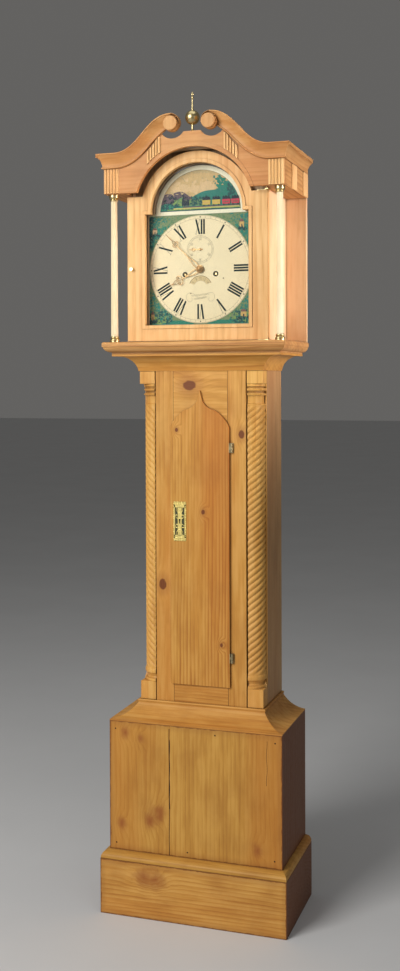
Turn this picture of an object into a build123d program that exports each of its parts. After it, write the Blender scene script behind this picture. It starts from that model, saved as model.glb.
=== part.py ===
from build123d import *
import math
import os

# Longcase (grandfather) clock, millimetres.
# +X is the viewer's right, the front faces -Y and +Z is up.
# The origin is on the floor, under the middle of the case.
# Depths are measured forward from the flat back of the case.

# ---- driving dimensions ----
OVERALL_DEPTH = 294.0
TOTAL_HEIGHT = 2256.4
Y_BACK = OVERALL_DEPTH / 2

# base and skirt
SKIRT_HALF = 265.4
SKIRT_TOP = 151.7
SKIRT_MOULD_TOP = 171.0
BASE_HALF = 247.5
BASE_DEPTH = 266.2
BASE_TOP = 529.8
BASE_BOARD = 18.0
BASE_SEAM_X = -72.0
FLOOR_Z = 20.0
BACK_THICK = 12.0
BACK_HALF = 162.0
BACK_HALF_BASE = 230.0
BACK_HALF_HOOD = 186.0
BACK_TOP = 2085.0
SPRING_Z = 1950.0
SPRING_R = 3.0

# trunk
TRUNK_HALF = 178.8
TRUNK_DEPTH = 201.6
TRUNK_BOTTOM = 578.9
TRUNK_TOP = 1501.9
TRUNK_SIDE = 16.0
FACE_THICK = 20.0
STILE_OUTER = 131.0
QUARTER_X = 133.5
QUARTER_DEPTH = 156.5
QUARTER_R = 44.5
CHEEK_TOP = 1686.0

# trunk door: an ogee head that ends in a point
OPENING_HALF = 79.0
OPENING_BOTTOM = 637.0
OPENING_SHOULDER = 1345.0
OPENING_APEX = 1441.0
DOOR_CLEAR = 2.0
DOOR_LIP = 6.0
DOOR_PROUD = 8.0
DOOR_BODY = 12.0
HINGE_X = 91.5
HINGE_DEPTH = 207.0
HINGE_Z = (712.0, 1290.0)
KEYHOLE_X = -58.0
KEYHOLE_Z = 1085.0
BOLT_BACK = 175.4
BOLT_FRONT = 180.6

# throat moulding and hood
THROAT_TOP = 1549.2
THROAT_HALF = 242.2
THROAT_DEPTH = 251.6
HOOD_GAP = 0.3
HOOD_MOULD_TOP = 1581.8
HOOD_MOULD_HALF = 260.6
HOOD_MOULD_DEPTH = 280.8
HOOD_SIDE_OUT = 196.9
HOOD_SIDE_THICK = 10.0
HOOD_SIDE_DEPTH = 205.0
FRIEZE_HALF = 257.3
FRIEZE_DEPTH = 265.4
FRIEZE_THICK = 12.0
FRIEZE_BOTTOM = 1992.6
FRIEZE_TOP = 2061.0
CORNER_BLOCK = 43.8
BLOCK_THICK = 1.0
REED_PITCH = 8.7
REED_R = 3.6
CORNER_REEDS = 5
SIDE_REEDS = 6
SIDE_BLOCKS = (28.0, 160.0)
CORNICE_HALF = 274.7
CORNICE_DEPTH = 285.1
CORNICE_TOP = 2102.0
ROOF_Z = 2105.5
ROOF_THICK = 5.5
COLUMN_X = 238.2
COLUMN_DEPTH = 239.8
COLUMN_R = 9.5

# break-arch hood door, mask and dial
ARCH_Z = 1940.0
ARCH_DOOR_R = 163.5
ARCH_MOULD_IN = 169.5
ARCH_MOULD_OUT = 181.0
HOOD_DOOR_HALF = 202.2
HOOD_DOOR_BOTTOM = 1584.8
HOOD_DOOR_SHOULDER = 1985.7
HOOD_DOOR_DEPTH = 230.7
HOOD_DOOR_THICK = 20.0
SIGHT_HALF = 149.5
SIGHT_BOTTOM = 1628.0
SIGHT_TOP = 1936.0
SIGHT_ARCH_R = 132.5
BEAD_WIDTH = 9.0
PIVOT_X = 203.0
PIVOT_DEPTH = 242.7
PIVOT_R = 2.5
FIT = 0.05

# dial and hands
DIAL_DEPTH = 195.0
DIAL_THICK = 2.0
DIAL_HALF = 152.4
DIAL_Z = 1783.0
DIAL_ARCH_R = 130.0
SECONDS_Z = 1837.5
WIND_X = 44.5
WIND_Z = 1769.0
MINUTE_ANGLE = 315.0
HOUR_ANGLE = 243.3
SECOND_ANGLE = 270.0
MINUTE_LENGTH = 143.0
HOUR_LENGTH = 99.0

# movement
PLATE_HALF = 80.0
PLATE_BOTTOM = 1702.0
PLATE_TOP = 1875.0
BACK_PLATE_DEPTH = 100.0
FRONT_PLATE_DEPTH = 163.0
PLATE_THICK = 3.0
SEAT_THICK = 16.0
TOOTH = 0.9
GREAT_TEETH = 96
CENTRE_TEETH = 60
THIRD_TEETH = 56
PINION_LEAVES = 8
ESCAPE_LEAVES = 7
MOTION_MODULE = 1.0
CANNON_TEETH = 24
MINUTE_TEETH = 24
HOUR_PINION = 6
HOUR_TEETH = 72
MOTION_DISTANCE = 24.0
BARREL_R = 24.0
LINE_R = 0.7
LINE_DEPTH = 131.0
PULLEY_R = 22.0
PULLEY_Z = 410.0
WEIGHT_R = 30.0
WEIGHT_BOTTOM = 200.0
WEIGHT_TOP = 370.0
PALLET_Z = 1863.0
PENDULUM_DEPTH = 85.0
BOB_Z = 869.0
BOB_R = 52.0


# ---- helpers ----
def board(x0, x1, d0, d1, z0, z1):
    """Box between two x limits, two depths and two heights."""
    centre = Pos((x0 + x1) / 2, Y_BACK - (d0 + d1) / 2, (z0 + z1) / 2)
    return centre * Box(x1 - x0, d1 - d0, z1 - z0)


def both(solid):
    """The solid and its mirror image in the middle plane."""
    return [solid, mirror(solid, about=Plane.YZ)]


def outline(start, *steps):
    """Closed face; a step is a point, or a (middle, end) pair for an arc."""
    edges = []
    here = start
    for step in steps:
        if isinstance(step[0], tuple):
            edges.append(ThreePointArc(here, step[0], step[1]))
            here = step[1]
        else:
            edges.append(Line(here, step))
            here = step
    if here != start:
        edges.append(Line(here, start))
    return make_face(edges)


def slab(face, d0, d1):
    """A face drawn in x and z, extruded from one depth forward to another."""
    plane = Plane(origin=(0, Y_BACK - d0, 0), x_dir=(1, 0, 0), z_dir=(0, -1, 0))
    return extrude(plane * face, d1 - d0)


def disc(x, z, radius, d0, d1):
    return slab(Pos(x, z) * Circle(radius), d0, d1)


def post(x, depth, radius, z0, z1):
    """Upright cylinder."""
    centre = Pos(x, Y_BACK - depth, (z0 + z1) / 2)
    return centre * Cylinder(radius, z1 - z0)


def turned(x, depth, *profile):
    """Upright turned piece; the profile gives radius and height."""
    face = Plane.XZ * outline(*profile)
    return Pos(x, Y_BACK - depth, 0) * revolve(face, Axis.Z)


def plan_prism(points, z0, z1):
    """A plan outline in x and depth, extruded between two heights."""
    face = outline(*[(x, Y_BACK - depth) for x, depth in points])
    return extrude(Pos(0, 0, z0) * face, z1 - z0)


def profile_of(width, start, *steps):
    """Moulding section: offsets run from 0, at the carcass, to 1, at the tip."""
    wide = []
    for step in steps:
        if isinstance(step[0], tuple):
            wide.append(tuple((p * width, z) for p, z in step))
        else:
            wide.append((step[0] * width, step[1]))
    return outline((start[0] * width, start[1]), *wide)


def mitred(section, half, depth, half_out, depth_out, z0, z1):
    """Front piece and two side pieces of a moulding that meet in mitres."""
    width = half_out - half
    side_face = profile_of(width, *section)
    front_face = scale(side_face, by=((depth_out - depth) / width, 1, 1))
    front_plane = Plane(origin=(0, Y_BACK - depth, 0), x_dir=(0, -1, 0), z_dir=(-1, 0, 0))
    side_plane = Plane(origin=(half, Y_BACK, 0), x_dir=(1, 0, 0), z_dir=(0, -1, 0))
    reach = 1.5
    far = half + reach * (half_out - half)
    fore = depth + reach * (depth_out - depth)
    wedge = plan_prism([(-half, depth), (-far, fore), (far, fore), (half, depth)], z0, z1)
    side_plan = plan_prism([(half, depth), (far, fore), (far, 0), (half, 0)], z0, z1)
    front = extrude(front_plane * front_face, far, both=True) & wedge
    side = extrude(side_plane * side_face, fore) & side_plan
    return [front] + both(side)


def solids_of(things):
    """Flatten shapes into a list of single solids."""
    found = []
    for thing in things:
        found.extend(thing.solids())
    return found


def write(name, *things):
    """Write one node: one solid, or a group of separate solids."""
    parts = solids_of(things)
    shape = parts[0] if len(parts) == 1 else Compound(children=parts)
    shape.label = name
    export_step(shape, os.path.join("parts", name + ".step"))


# ---- base ----
def base_floor_board():
    return board(-229, 229, BACK_THICK + 0.5, BASE_DEPTH - BASE_BOARD, FLOOR_Z, FLOOR_Z + 16)


def skirt_boards():
    front = board(-SKIRT_HALF, SKIRT_HALF, BASE_DEPTH, OVERALL_DEPTH, 0, SKIRT_TOP)
    side = board(BASE_HALF, SKIRT_HALF, 0, BASE_DEPTH, 0, SKIRT_TOP)
    return [front] + both(side)


def skirt_moulding():
    """Rounded capping between the skirt and the face of the base."""
    section = [
        (0, SKIRT_TOP),
        (0.95, SKIRT_TOP),
        ((0.9, SKIRT_TOP + 9), (0.6, SKIRT_MOULD_TOP - 3)),
        (0.25, SKIRT_MOULD_TOP - 1),
        (0, SKIRT_MOULD_TOP),
    ]
    return mitred(section, BASE_HALF, BASE_DEPTH, SKIRT_HALF, OVERALL_DEPTH, 0, BASE_TOP)


def base_boards():
    """Two front boards butted at a seam, and two side boards."""
    back = BASE_DEPTH - BASE_BOARD
    narrow = board(-BASE_HALF, BASE_SEAM_X, back, BASE_DEPTH, FLOOR_Z, BASE_TOP)
    wide = board(BASE_SEAM_X, BASE_HALF, back, BASE_DEPTH, FLOOR_Z, BASE_TOP)
    side = board(231, BASE_HALF, 0, back, FLOOR_Z, BASE_TOP)
    return [narrow, wide] + both(side)


def waist_moulding():
    """Large hollow moulding that steps in from the base to the trunk."""
    section = [
        (0, BASE_TOP),
        (1, BASE_TOP),
        (1, BASE_TOP + 3),
        (0.95, BASE_TOP + 3),
        ((0.45, BASE_TOP + 15), (0.08, TRUNK_BOTTOM - 9)),
        (0.08, TRUNK_BOTTOM - 6),
        ((0.1, TRUNK_BOTTOM - 3), (0.06, TRUNK_BOTTOM)),
        (0, TRUNK_BOTTOM),
    ]
    return mitred(section, TRUNK_HALF, TRUNK_DEPTH, BASE_HALF, BASE_DEPTH, 0, TRUNK_TOP)


# ---- trunk ----
def ogee_face(half, bottom, shoulder, apex):
    """Door outline with straight sides and a pointed ogee head."""

    def at(side, reach, lift):
        return (side * reach * half, shoulder + lift * (apex - shoulder))

    left = [
        (at(-1, 0.81, 0.25), at(-1, 0.51, 0.455)),
        (at(-1, 0.25, 0.555), at(-1, 0.09, 0.71)),
    ]
    right = [
        (at(1, 0.25, 0.555), at(1, 0.51, 0.455)),
        (at(1, 0.81, 0.25), at(1, 1, 0)),
    ]
    tip = [(0, apex), at(1, 0.09, 0.71)]
    return outline((-half, bottom), (-half, shoulder), *left, *tip, *right, (half, bottom))


def trunk_face_frame():
    """Two stiles, a bottom rail and a top rail cut to the ogee head."""
    back = TRUNK_DEPTH - FACE_THICK
    stile = board(OPENING_HALF, STILE_OUTER, back, TRUNK_DEPTH, TRUNK_BOTTOM, TRUNK_TOP)
    low = board(-OPENING_HALF, OPENING_HALF, back, TRUNK_DEPTH, TRUNK_BOTTOM, OPENING_BOTTOM)
    high = board(-OPENING_HALF, OPENING_HALF, back, TRUNK_DEPTH, OPENING_SHOULDER, TRUNK_TOP)
    head = ogee_face(OPENING_HALF, OPENING_BOTTOM, OPENING_SHOULDER, OPENING_APEX)
    high -= slab(head, back - 1, TRUNK_DEPTH + 1)
    return both(stile) + [low, high]


def trunk_side_boards():
    """The sides run up inside the hood as cheeks that carry the seat board."""
    return both(board(TRUNK_HALF - TRUNK_SIDE, TRUNK_HALF, 0, QUARTER_DEPTH, TRUNK_BOTTOM, CHEEK_TOP))


def quarter_columns():
    """Quarter-round corner columns between square blocks."""
    r = QUARTER_R
    shaft = outline(
        (0, 630),
        (r, 630),
        ((r + 1, 634), (r, 638)),
        (r - 9, 643),
        (r - 9, 650),
        (r - 2, 653),
        ((r, 659), (r - 2, 666)),
        (r - 2, 1409),
        (r - 8, 1412),
        (r - 8, 1433),
        (r - 1, 1435),
        (r - 1, 1439),
        (r - 8, 1441),
        (r - 8, 1450),
        ((r, 1456), (r - 1, 1466)),
        (0, 1466),
    )
    turned_shaft = revolve(Plane.XZ * shaft, Axis.Z)
    turned_shaft = Pos(QUARTER_X, Y_BACK - QUARTER_DEPTH, 0) * turned_shaft
    quadrant = board(QUARTER_X, TRUNK_HALF, QUARTER_DEPTH, TRUNK_DEPTH, 600, 1480)
    column = turned_shaft & quadrant
    column += board(QUARTER_X, TRUNK_HALF, QUARTER_DEPTH, TRUNK_DEPTH, TRUNK_BOTTOM, 630)
    column += board(QUARTER_X, TRUNK_HALF, QUARTER_DEPTH, TRUNK_DEPTH, 1466, TRUNK_TOP)
    return both(column)


def backboard():
    """One long board with narrow boards beside it in the base and in the hood."""
    long_board = board(-BACK_HALF, BACK_HALF, 0, BACK_THICK, FLOOR_Z, BACK_TOP)
    long_board -= disc(0, SPRING_Z, SPRING_R, -1, BACK_THICK + 1)
    base_board = board(BACK_HALF, BACK_HALF_BASE, 0, BACK_THICK, FLOOR_Z, BASE_TOP)
    hood_board = board(BACK_HALF, BACK_HALF_HOOD, 0, BACK_THICK, CHEEK_TOP + 0.5, BACK_TOP)
    return [long_board] + both(base_board) + both(hood_board)


def backboard_ears():
    """Wings glued to the backboard that close the back beside the hood."""
    low = HOOD_MOULD_TOP + 0.5
    high = FRIEZE_BOTTOM - 0.6
    return both(board(BACK_HALF_HOOD, FRIEZE_HALF, 0, BACK_THICK, low, high))


def throat_moulding():
    """Hollow moulding under the hood."""
    section = [
        (0, TRUNK_TOP),
        (0.04, TRUNK_TOP),
        ((0.3, TRUNK_TOP + 30), (0.95, THROAT_TOP - 6)),
        (1, THROAT_TOP - 6),
        (1, THROAT_TOP),
        (0, THROAT_TOP),
    ]
    return mitred(section, TRUNK_HALF, TRUNK_DEPTH, THROAT_HALF, THROAT_DEPTH, 0, 1700)


def seat_board():
    """Shelf for the movement, with holes for the two lines."""
    seat = board(-178, 178, 98, 188, CHEEK_TOP, PLATE_BOTTOM)
    for x, radius in ((line_out_x(), 5.0), (line_back_x(), 1.5)):
        seat -= post(x, LINE_DEPTH, radius, CHEEK_TOP - 1, PLATE_BOTTOM + 1)
        seat -= post(-x, LINE_DEPTH, radius, CHEEK_TOP - 1, PLATE_BOTTOM + 1)
    return seat


def line_out_x():
    return WIND_X + BARREL_R + LINE_R + 0.1


def line_back_x():
    return line_out_x() - 2 * (PULLEY_R + LINE_R)


def weight_x():
    return line_out_x() - PULLEY_R - LINE_R


# ---- trunk door and its fittings ----
def trunk_door():
    """Lipped door: the inner body fills the opening and the lip stands proud."""
    inner = ogee_face(
        OPENING_HALF - DOOR_CLEAR,
        OPENING_BOTTOM + DOOR_CLEAR,
        OPENING_SHOULDER,
        OPENING_APEX - 2 * DOOR_CLEAR,
    )
    lip = ogee_face(
        OPENING_HALF + DOOR_LIP,
        OPENING_BOTTOM - DOOR_LIP,
        OPENING_SHOULDER + 2,
        OPENING_APEX + DOOR_LIP + 1,
    )
    front = TRUNK_DEPTH + DOOR_PROUD
    body = slab(inner, TRUNK_DEPTH - DOOR_BODY, TRUNK_DEPTH + 0.3)
    return body + slab(lip, TRUNK_DEPTH + 0.3, front)


def hinge_barrel(z0, z1):
    barrel = post(HINGE_X, HINGE_DEPTH, 3.6, z0, z1)
    return barrel - post(HINGE_X, HINGE_DEPTH, 1.5 + FIT, z0 - 1, z1 + 1)


def case_hinges():
    """Leaves on the right stile with their pins."""
    pieces = []
    for z in HINGE_Z:
        leaf = board(HINGE_X - 1, HINGE_X + 5, TRUNK_DEPTH, TRUNK_DEPTH + 1.5, z - 13, z + 13)
        for low, high in ((z - 13, z - 4.2), (z + 4.2, z + 13)):
            leaf += board(HINGE_X - 1, HINGE_X + 1, TRUNK_DEPTH, HINGE_DEPTH - 2, low, high)
            leaf += hinge_barrel(low, high)
        pin = post(HINGE_X, HINGE_DEPTH, 1.5, z - 13, z + 13)
        pieces.append(leaf + pin)
    return pieces


def door_hinges():
    """Leaves on the door's edge."""
    pieces = []
    front = TRUNK_DEPTH + DOOR_PROUD
    for z in HINGE_Z:
        edge = OPENING_HALF + DOOR_LIP
        knuckle = hinge_barrel(z - 4, z + 4)
        leaf = board(edge, edge + 1.5, TRUNK_DEPTH + 1, front, z - 13, z + 13)
        arm = board(edge + 1, HINGE_X - 2.5, HINGE_DEPTH - 1.2, HINGE_DEPTH + 1.2, z - 4, z + 4)
        pieces.append(knuckle + leaf + arm)
    return pieces


def lock_bolt():
    return board(-74.6, -50, BOLT_BACK, BOLT_FRONT, KEYHOLE_Z - 8, KEYHOLE_Z + 8)


def door_lock_case():
    """Iron lock box on the back of the door, open at the left for the bolt."""
    back = TRUNK_DEPTH - DOOR_BODY
    case = board(-75, -38, 171, back, KEYHOLE_Z - 32, KEYHOLE_Z + 32)
    return case - board(-76, -42, BOLT_BACK - 0.3, BOLT_FRONT + 0.3, KEYHOLE_Z - 8.3, KEYHOLE_Z + 8.3)


def escutcheon_plate():
    """Shaped brass plate with a keyhole."""
    x, z = KEYHOLE_X, KEYHOLE_Z
    right = [
        ((x + 6, z + 46), (x + 9, z + 38)),
        ((x + 17, z + 36), (x + 15, z + 24)),
        ((x + 11, z), (x + 15, z - 24)),
        ((x + 17, z - 36), (x + 9, z - 38)),
        ((x + 6, z - 46), (x, z - 53)),
    ]
    left = [
        ((x - 6, z - 46), (x - 9, z - 38)),
        ((x - 17, z - 36), (x - 15, z - 24)),
        ((x - 11, z), (x - 15, z + 24)),
        ((x - 17, z + 36), (x - 9, z + 38)),
        ((x - 6, z + 46), (x, z + 53)),
    ]
    front = TRUNK_DEPTH + DOOR_PROUD
    plate = slab(outline((x, z + 53), *right, *left), front, front + 1.6)
    plate -= disc(x, z + 3, 2.2, front - 1, front + 3)
    return plate - board(x - 1.1, x + 1.1, front - 1, front + 3, z - 7, z + 3)


# ---- hood ----
def hood_base_moulding():
    """Hood frame: a bold ovolo rail across the front and down both sides."""
    low = THROAT_TOP + HOOD_GAP
    section = [
        (0, low),
        (0.739, low),
        (0.739, low + 4),
        ((0.9, low + 9), (0.97, low + 18)),
        (1, low + 20),
        (1, low + 26),
        ((0.99, HOOD_MOULD_TOP - 2), (0.96, HOOD_MOULD_TOP)),
        (0, HOOD_MOULD_TOP),
    ]
    rails = mitred(section, 190, 168.7, HOOD_MOULD_HALF, HOOD_MOULD_DEPTH, 0, 1700)
    hole = post(PIVOT_X, PIVOT_DEPTH, PIVOT_R + FIT, HOOD_MOULD_TOP - 9, HOOD_MOULD_TOP + 1)
    return [rail - hole for rail in rails]


def hood_side_boards():
    inner = HOOD_SIDE_OUT - HOOD_SIDE_THICK
    return both(board(inner, HOOD_SIDE_OUT, BACK_THICK + 0.6, HOOD_SIDE_DEPTH, HOOD_MOULD_TOP, ROOF_Z))


def sight_face(grow, bottom_grow=0.0):
    """Outline of the glazed opening, with its arched head, grown outward."""
    half = SIGHT_HALF + grow
    radius = SIGHT_ARCH_R + grow
    low = SIGHT_BOTTOM - grow - bottom_grow
    shoulder = SIGHT_TOP + grow
    spring = math.sqrt(radius**2 - (shoulder - ARCH_Z) ** 2)
    arch = ((0, ARCH_Z + radius), (spring, shoulder))
    return outline(
        (-half, low), (-half, shoulder), (-spring, shoulder), arch, (half, shoulder), (half, low)
    )


def dial_mask():
    """Thin frame behind the door that hides the edge of the dial."""
    back = HOOD_SIDE_DEPTH - 7
    face = board(-186.7, 186.7, back, HOOD_SIDE_DEPTH, HOOD_MOULD_TOP, ROOF_Z)
    return face - slab(sight_face(0.0), back - 1, HOOD_SIDE_DEPTH + 1)


def swan_curve(fraction):
    """Control points of an S-shaped line, from the upper edge to the lower edge."""
    upper = [(222, 2102), (147, 2101), (131, 2198.7), (56, 2198.7)]
    lower = [(225, 2060.5), (150, 2060.5), (122, 2128), (75, 2156)]
    points = []
    for top, low in zip(upper, lower):
        x = top[0] + fraction * (low[0] - top[0])
        z = top[1] + fraction * (low[1] - top[1])
        points.append((x, z))
    return points


def swan_face(fraction, outer):
    """The swan neck from its upper edge down to a fraction of its width."""
    low = swan_curve(fraction)
    top = swan_curve(0.0)
    edges = [
        Line((outer, low[0][1]), low[0]),
        Bezier(*low),
        Line(low[-1], top[-1]),
        Bezier(*reversed(top)),
        Line(top[0], (outer, top[0][1])),
        Line((outer, top[0][1]), (outer, low[0][1])),
    ]
    return make_face(edges)


def swan_necks():
    """Scrolled cornice halves; the steps stand for a hollow moulding."""
    overhang = CORNICE_DEPTH - FRIEZE_DEPTH
    layers = [(1.0, 0.0, 0.18), (0.86, 0.18, 0.4), (0.6, 0.4, 0.72), (0.32, 0.72, 1.0)]
    neck = None
    for fraction, start, end in layers:
        face = swan_face(fraction, CORNICE_HALF)
        layer = slab(face, FRIEZE_DEPTH + start * overhang, FRIEZE_DEPTH + end * overhang)
        neck = layer if neck is None else neck + layer
    scroll = disc(54, 2170.5, 28, FRIEZE_DEPTH, CORNICE_DEPTH)
    scroll -= board(54, 90, 260, 290, 2130, 2160)
    neck += scroll
    reach = 1.5
    far = FRIEZE_HALF + reach * (CORNICE_HALF - FRIEZE_HALF)
    fore = FRIEZE_DEPTH + reach * overhang
    plan = [(10, FRIEZE_DEPTH), (10, fore), (far, fore), (FRIEZE_HALF, FRIEZE_DEPTH)]
    return both(neck & plan_prism(plan, 2000, 2240))


def scroll_discs():
    return both(disc(54, 2170.5, 19, CORNICE_DEPTH, OVERALL_DEPTH))


def side_cornices():
    """Side mouldings mitred to the outer ends of the swan necks."""
    section = [
        (0, FRIEZE_TOP),
        (0.18, FRIEZE_TOP),
        ((0.3, FRIEZE_TOP + 20), (0.9, FRIEZE_TOP + 31)),
        (1, FRIEZE_TOP + 31),
        (1, CORNICE_TOP),
        (0, CORNICE_TOP),
    ]
    pieces = mitred(section, FRIEZE_HALF, FRIEZE_DEPTH, CORNICE_HALF, CORNICE_DEPTH, 2000, 2240)
    return pieces[1:]


def frieze_face():
    """Frieze and tympanum board, with the arch cut out and a scalloped top."""
    radius = ARCH_MOULD_IN + 1.5
    spring = math.sqrt(radius**2 - (FRIEZE_BOTTOM - ARCH_Z) ** 2)
    crown = ARCH_Z + radius
    middle = (radius * math.sin(0.63), ARCH_Z + radius * math.cos(0.63))
    edge_z = CORNICE_TOP - 6
    half = outline(
        (0, 2151),
        (24, 2151),
        ((56.5, 2133.5), (90, 2152)),
        ((112, 2158), (140, 2139)),
        ((163, 2116), (200, edge_z)),
        (FRIEZE_HALF, edge_z),
        (FRIEZE_HALF, FRIEZE_BOTTOM),
        (spring, FRIEZE_BOTTOM),
        (middle, (0, crown)),
    )
    return half + mirror(half, about=Plane.YZ)


def hood_frieze_board():
    return slab(frieze_face(), FRIEZE_DEPTH - FRIEZE_THICK, FRIEZE_DEPTH)


def frieze_side_boards():
    """Side friezes, each with a soffit board that closes the underside."""
    back = FRIEZE_DEPTH - FRIEZE_THICK
    side = board(FRIEZE_HALF - 12, FRIEZE_HALF, 0, back, FRIEZE_BOTTOM, CORNICE_TOP - 6)
    soffit = board(HOOD_SIDE_OUT, FRIEZE_HALF - 12, 0, back, FRIEZE_BOTTOM, FRIEZE_BOTTOM + 9)
    soffit -= post(PIVOT_X, PIVOT_DEPTH, PIVOT_R + FIT, FRIEZE_BOTTOM - 1, FRIEZE_BOTTOM + 10)
    return both(side) + both(soffit)


def arch_moulding():
    """Flat band round the arch of the door, proud of the frieze."""
    band = Pos(0, ARCH_Z) * (Circle(ARCH_MOULD_OUT) - Circle(ARCH_MOULD_IN))
    band &= Pos(0, FRIEZE_BOTTOM + 100) * Rectangle(400, 200)
    ring = slab(band, FRIEZE_DEPTH, FRIEZE_DEPTH + 1.5)
    inner = Pos(0, ARCH_Z) * (Circle(ARCH_MOULD_IN + 1.5) - Circle(ARCH_MOULD_IN))
    inner &= Pos(0, FRIEZE_BOTTOM + 100) * Rectangle(400, 200)
    return ring + slab(inner, FRIEZE_DEPTH - FRIEZE_THICK, FRIEZE_DEPTH)


def reeded_blocks():
    """Corner blocks, blocks beside the arch and side blocks, all reeded."""
    low = FRIEZE_BOTTOM + 1
    high = FRIEZE_TOP - 1
    inner = FRIEZE_HALF - CORNER_BLOCK
    front = FRIEZE_DEPTH + BLOCK_THICK
    corner = board(inner, FRIEZE_HALF, FRIEZE_DEPTH, front, low, high)
    for i in range(CORNER_REEDS):
        corner += post(inner + (i + 0.5) * REED_PITCH, FRIEZE_DEPTH, REED_R, low, high)
    corner &= board(inner, FRIEZE_HALF, FRIEZE_DEPTH, front + REED_R, low, high)
    blocks = both(corner)
    out = FRIEZE_HALF + BLOCK_THICK
    reach = SIDE_REEDS * REED_PITCH / 2
    for depth in SIDE_BLOCKS:
        side = board(FRIEZE_HALF, out, depth - reach, depth + reach, low, high)
        for i in range(SIDE_REEDS):
            side += post(FRIEZE_HALF, depth - reach + (i + 0.5) * REED_PITCH, REED_R, low, high)
        side &= board(FRIEZE_HALF, out + REED_R, depth - reach, depth + reach, low, high)
        blocks += both(side)
    return blocks + both(arch_block())


def arch_block():
    """Reeded piece that fills between the arch moulding and the swan neck."""
    inner, middle, outer = 90.0, 111.5, 130.0
    radius = ARCH_MOULD_OUT + 0.5
    on_arch = [(x, ARCH_Z + math.sqrt(radius**2 - x**2)) for x in (inner, middle, outer)]
    face = outline(
        on_arch[0],
        (on_arch[1], on_arch[2]),
        (outer, 2101),
        ((112, 2119), (98, 2139)),
        (inner, 2140),
    )
    face -= swan_face(1.0, CORNICE_HALF)
    ground = 2.0
    block = slab(face, FRIEZE_DEPTH, FRIEZE_DEPTH + ground)
    pitch = (outer - inner) / CORNER_REEDS
    for i in range(CORNER_REEDS):
        rib = post(inner + (i + 0.5) * pitch, FRIEZE_DEPTH + ground, 0.4 * pitch, 2060, 2145)
        block += rib & slab(face, FRIEZE_DEPTH, FRIEZE_DEPTH + ground + 3)
    return block


def hood_roof_board():
    return board(-FRIEZE_HALF + 2, FRIEZE_HALF - 2, 0, 240, ROOF_Z, ROOF_Z + ROOF_THICK)


def hood_columns():
    top = FRIEZE_BOTTOM - 17.5
    shaft = turned(
        COLUMN_X, COLUMN_DEPTH, (0, 1599), (COLUMN_R + 0.6, 1599), (COLUMN_R - 0.8, top), (0, top)
    )
    return both(shaft)


def column_brasses():
    """Turned brass bases and capitals."""
    low = HOOD_MOULD_TOP
    base = turned(
        COLUMN_X,
        COLUMN_DEPTH,
        (0, low),
        (13.5, low),
        (13.5, low + 4),
        ((14, low + 7), (12, low + 9.5)),
        (10.8, low + 11),
        ((12, low + 13.5), (10.6, low + 17.2)),
        (0, low + 17.2),
    )
    high = FRIEZE_BOTTOM
    cap = turned(
        COLUMN_X,
        COLUMN_DEPTH,
        (0, high),
        (14, high),
        (14, high - 4),
        ((13.5, high - 9), (10.2, high - 12)),
        ((11.8, high - 14.5), (9.6, high - 17.5)),
        (0, high - 17.5),
    )
    return both(base) + both(cap)


def finial():
    """Ball and spire finial on a thin stem."""
    foot = 2151
    profile = [
        (0, foot),
        (6, foot),
        (4.5, foot + 2),
        (2.6, foot + 5),
        (2.6, foot + 17),
        ((20, foot + 36.2), (3.5, foot + 56)),
        (2.4, foot + 64),
        (1.6, foot + 86),
        ((3.6, foot + 90), (1.6, foot + 94)),
        ((3.4, foot + 98.5), (1, TOTAL_HEIGHT)),
        (0, TOTAL_HEIGHT),
    ]
    return turned(0, FRIEZE_DEPTH - FRIEZE_THICK / 2, *profile)


# ---- hood door ----
def door_face(radius, half, low, shoulder):
    spring = math.sqrt(radius**2 - (shoulder - ARCH_Z) ** 2)
    arch = ((0, ARCH_Z + radius), (spring, shoulder))
    left = [(-half, shoulder), (-spring, shoulder)]
    return outline((-half, low), *left, arch, (half, shoulder), (half, low))


def hood_door_frame():
    back = HOOD_DOOR_DEPTH - HOOD_DOOR_THICK
    face = door_face(ARCH_DOOR_R, HOOD_DOOR_HALF, HOOD_DOOR_BOTTOM, HOOD_DOOR_SHOULDER)
    frame = slab(face, back, HOOD_DOOR_DEPTH)
    frame -= slab(sight_face(0.0), back - 1, HOOD_DOOR_DEPTH + 1)
    return frame - slab(sight_face(5.0), back - 1, back + 7)


def hood_door_bead():
    ring = sight_face(BEAD_WIDTH) - sight_face(0.0)
    return slab(ring, HOOD_DOOR_DEPTH, HOOD_DOOR_DEPTH + 3)


def hood_door_glass():
    back = HOOD_DOOR_DEPTH - HOOD_DOOR_THICK
    return slab(sight_face(4.6), back + 4, back + 7)


def hood_door_fittings():
    """Turned brass knob, and the two strap hinges with their pivot pins."""
    d = HOOD_DOOR_DEPTH
    knob = disc(-188, 1785, 2.2, d, d + 6) + disc(-188, 1785, 4.5, d + 5, d + 10)
    pieces = [knob]
    spans = [
        (HOOD_DOOR_BOTTOM - 2, HOOD_DOOR_BOTTOM - 9),
        (HOOD_DOOR_SHOULDER, FRIEZE_BOTTOM + 7),
    ]
    for z, pin_end in spans:
        strap = board(172, PIVOT_X + 1, d - 16, d - 4, z, z + 2)
        strap += board(PIVOT_X - 4, PIVOT_X + 4, d - 16, PIVOT_DEPTH + 3.5, z, z + 2)
        strap += post(PIVOT_X, PIVOT_DEPTH, PIVOT_R, min(z, pin_end), max(z + 2, pin_end))
        pieces.append(strap)
    return pieces


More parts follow.
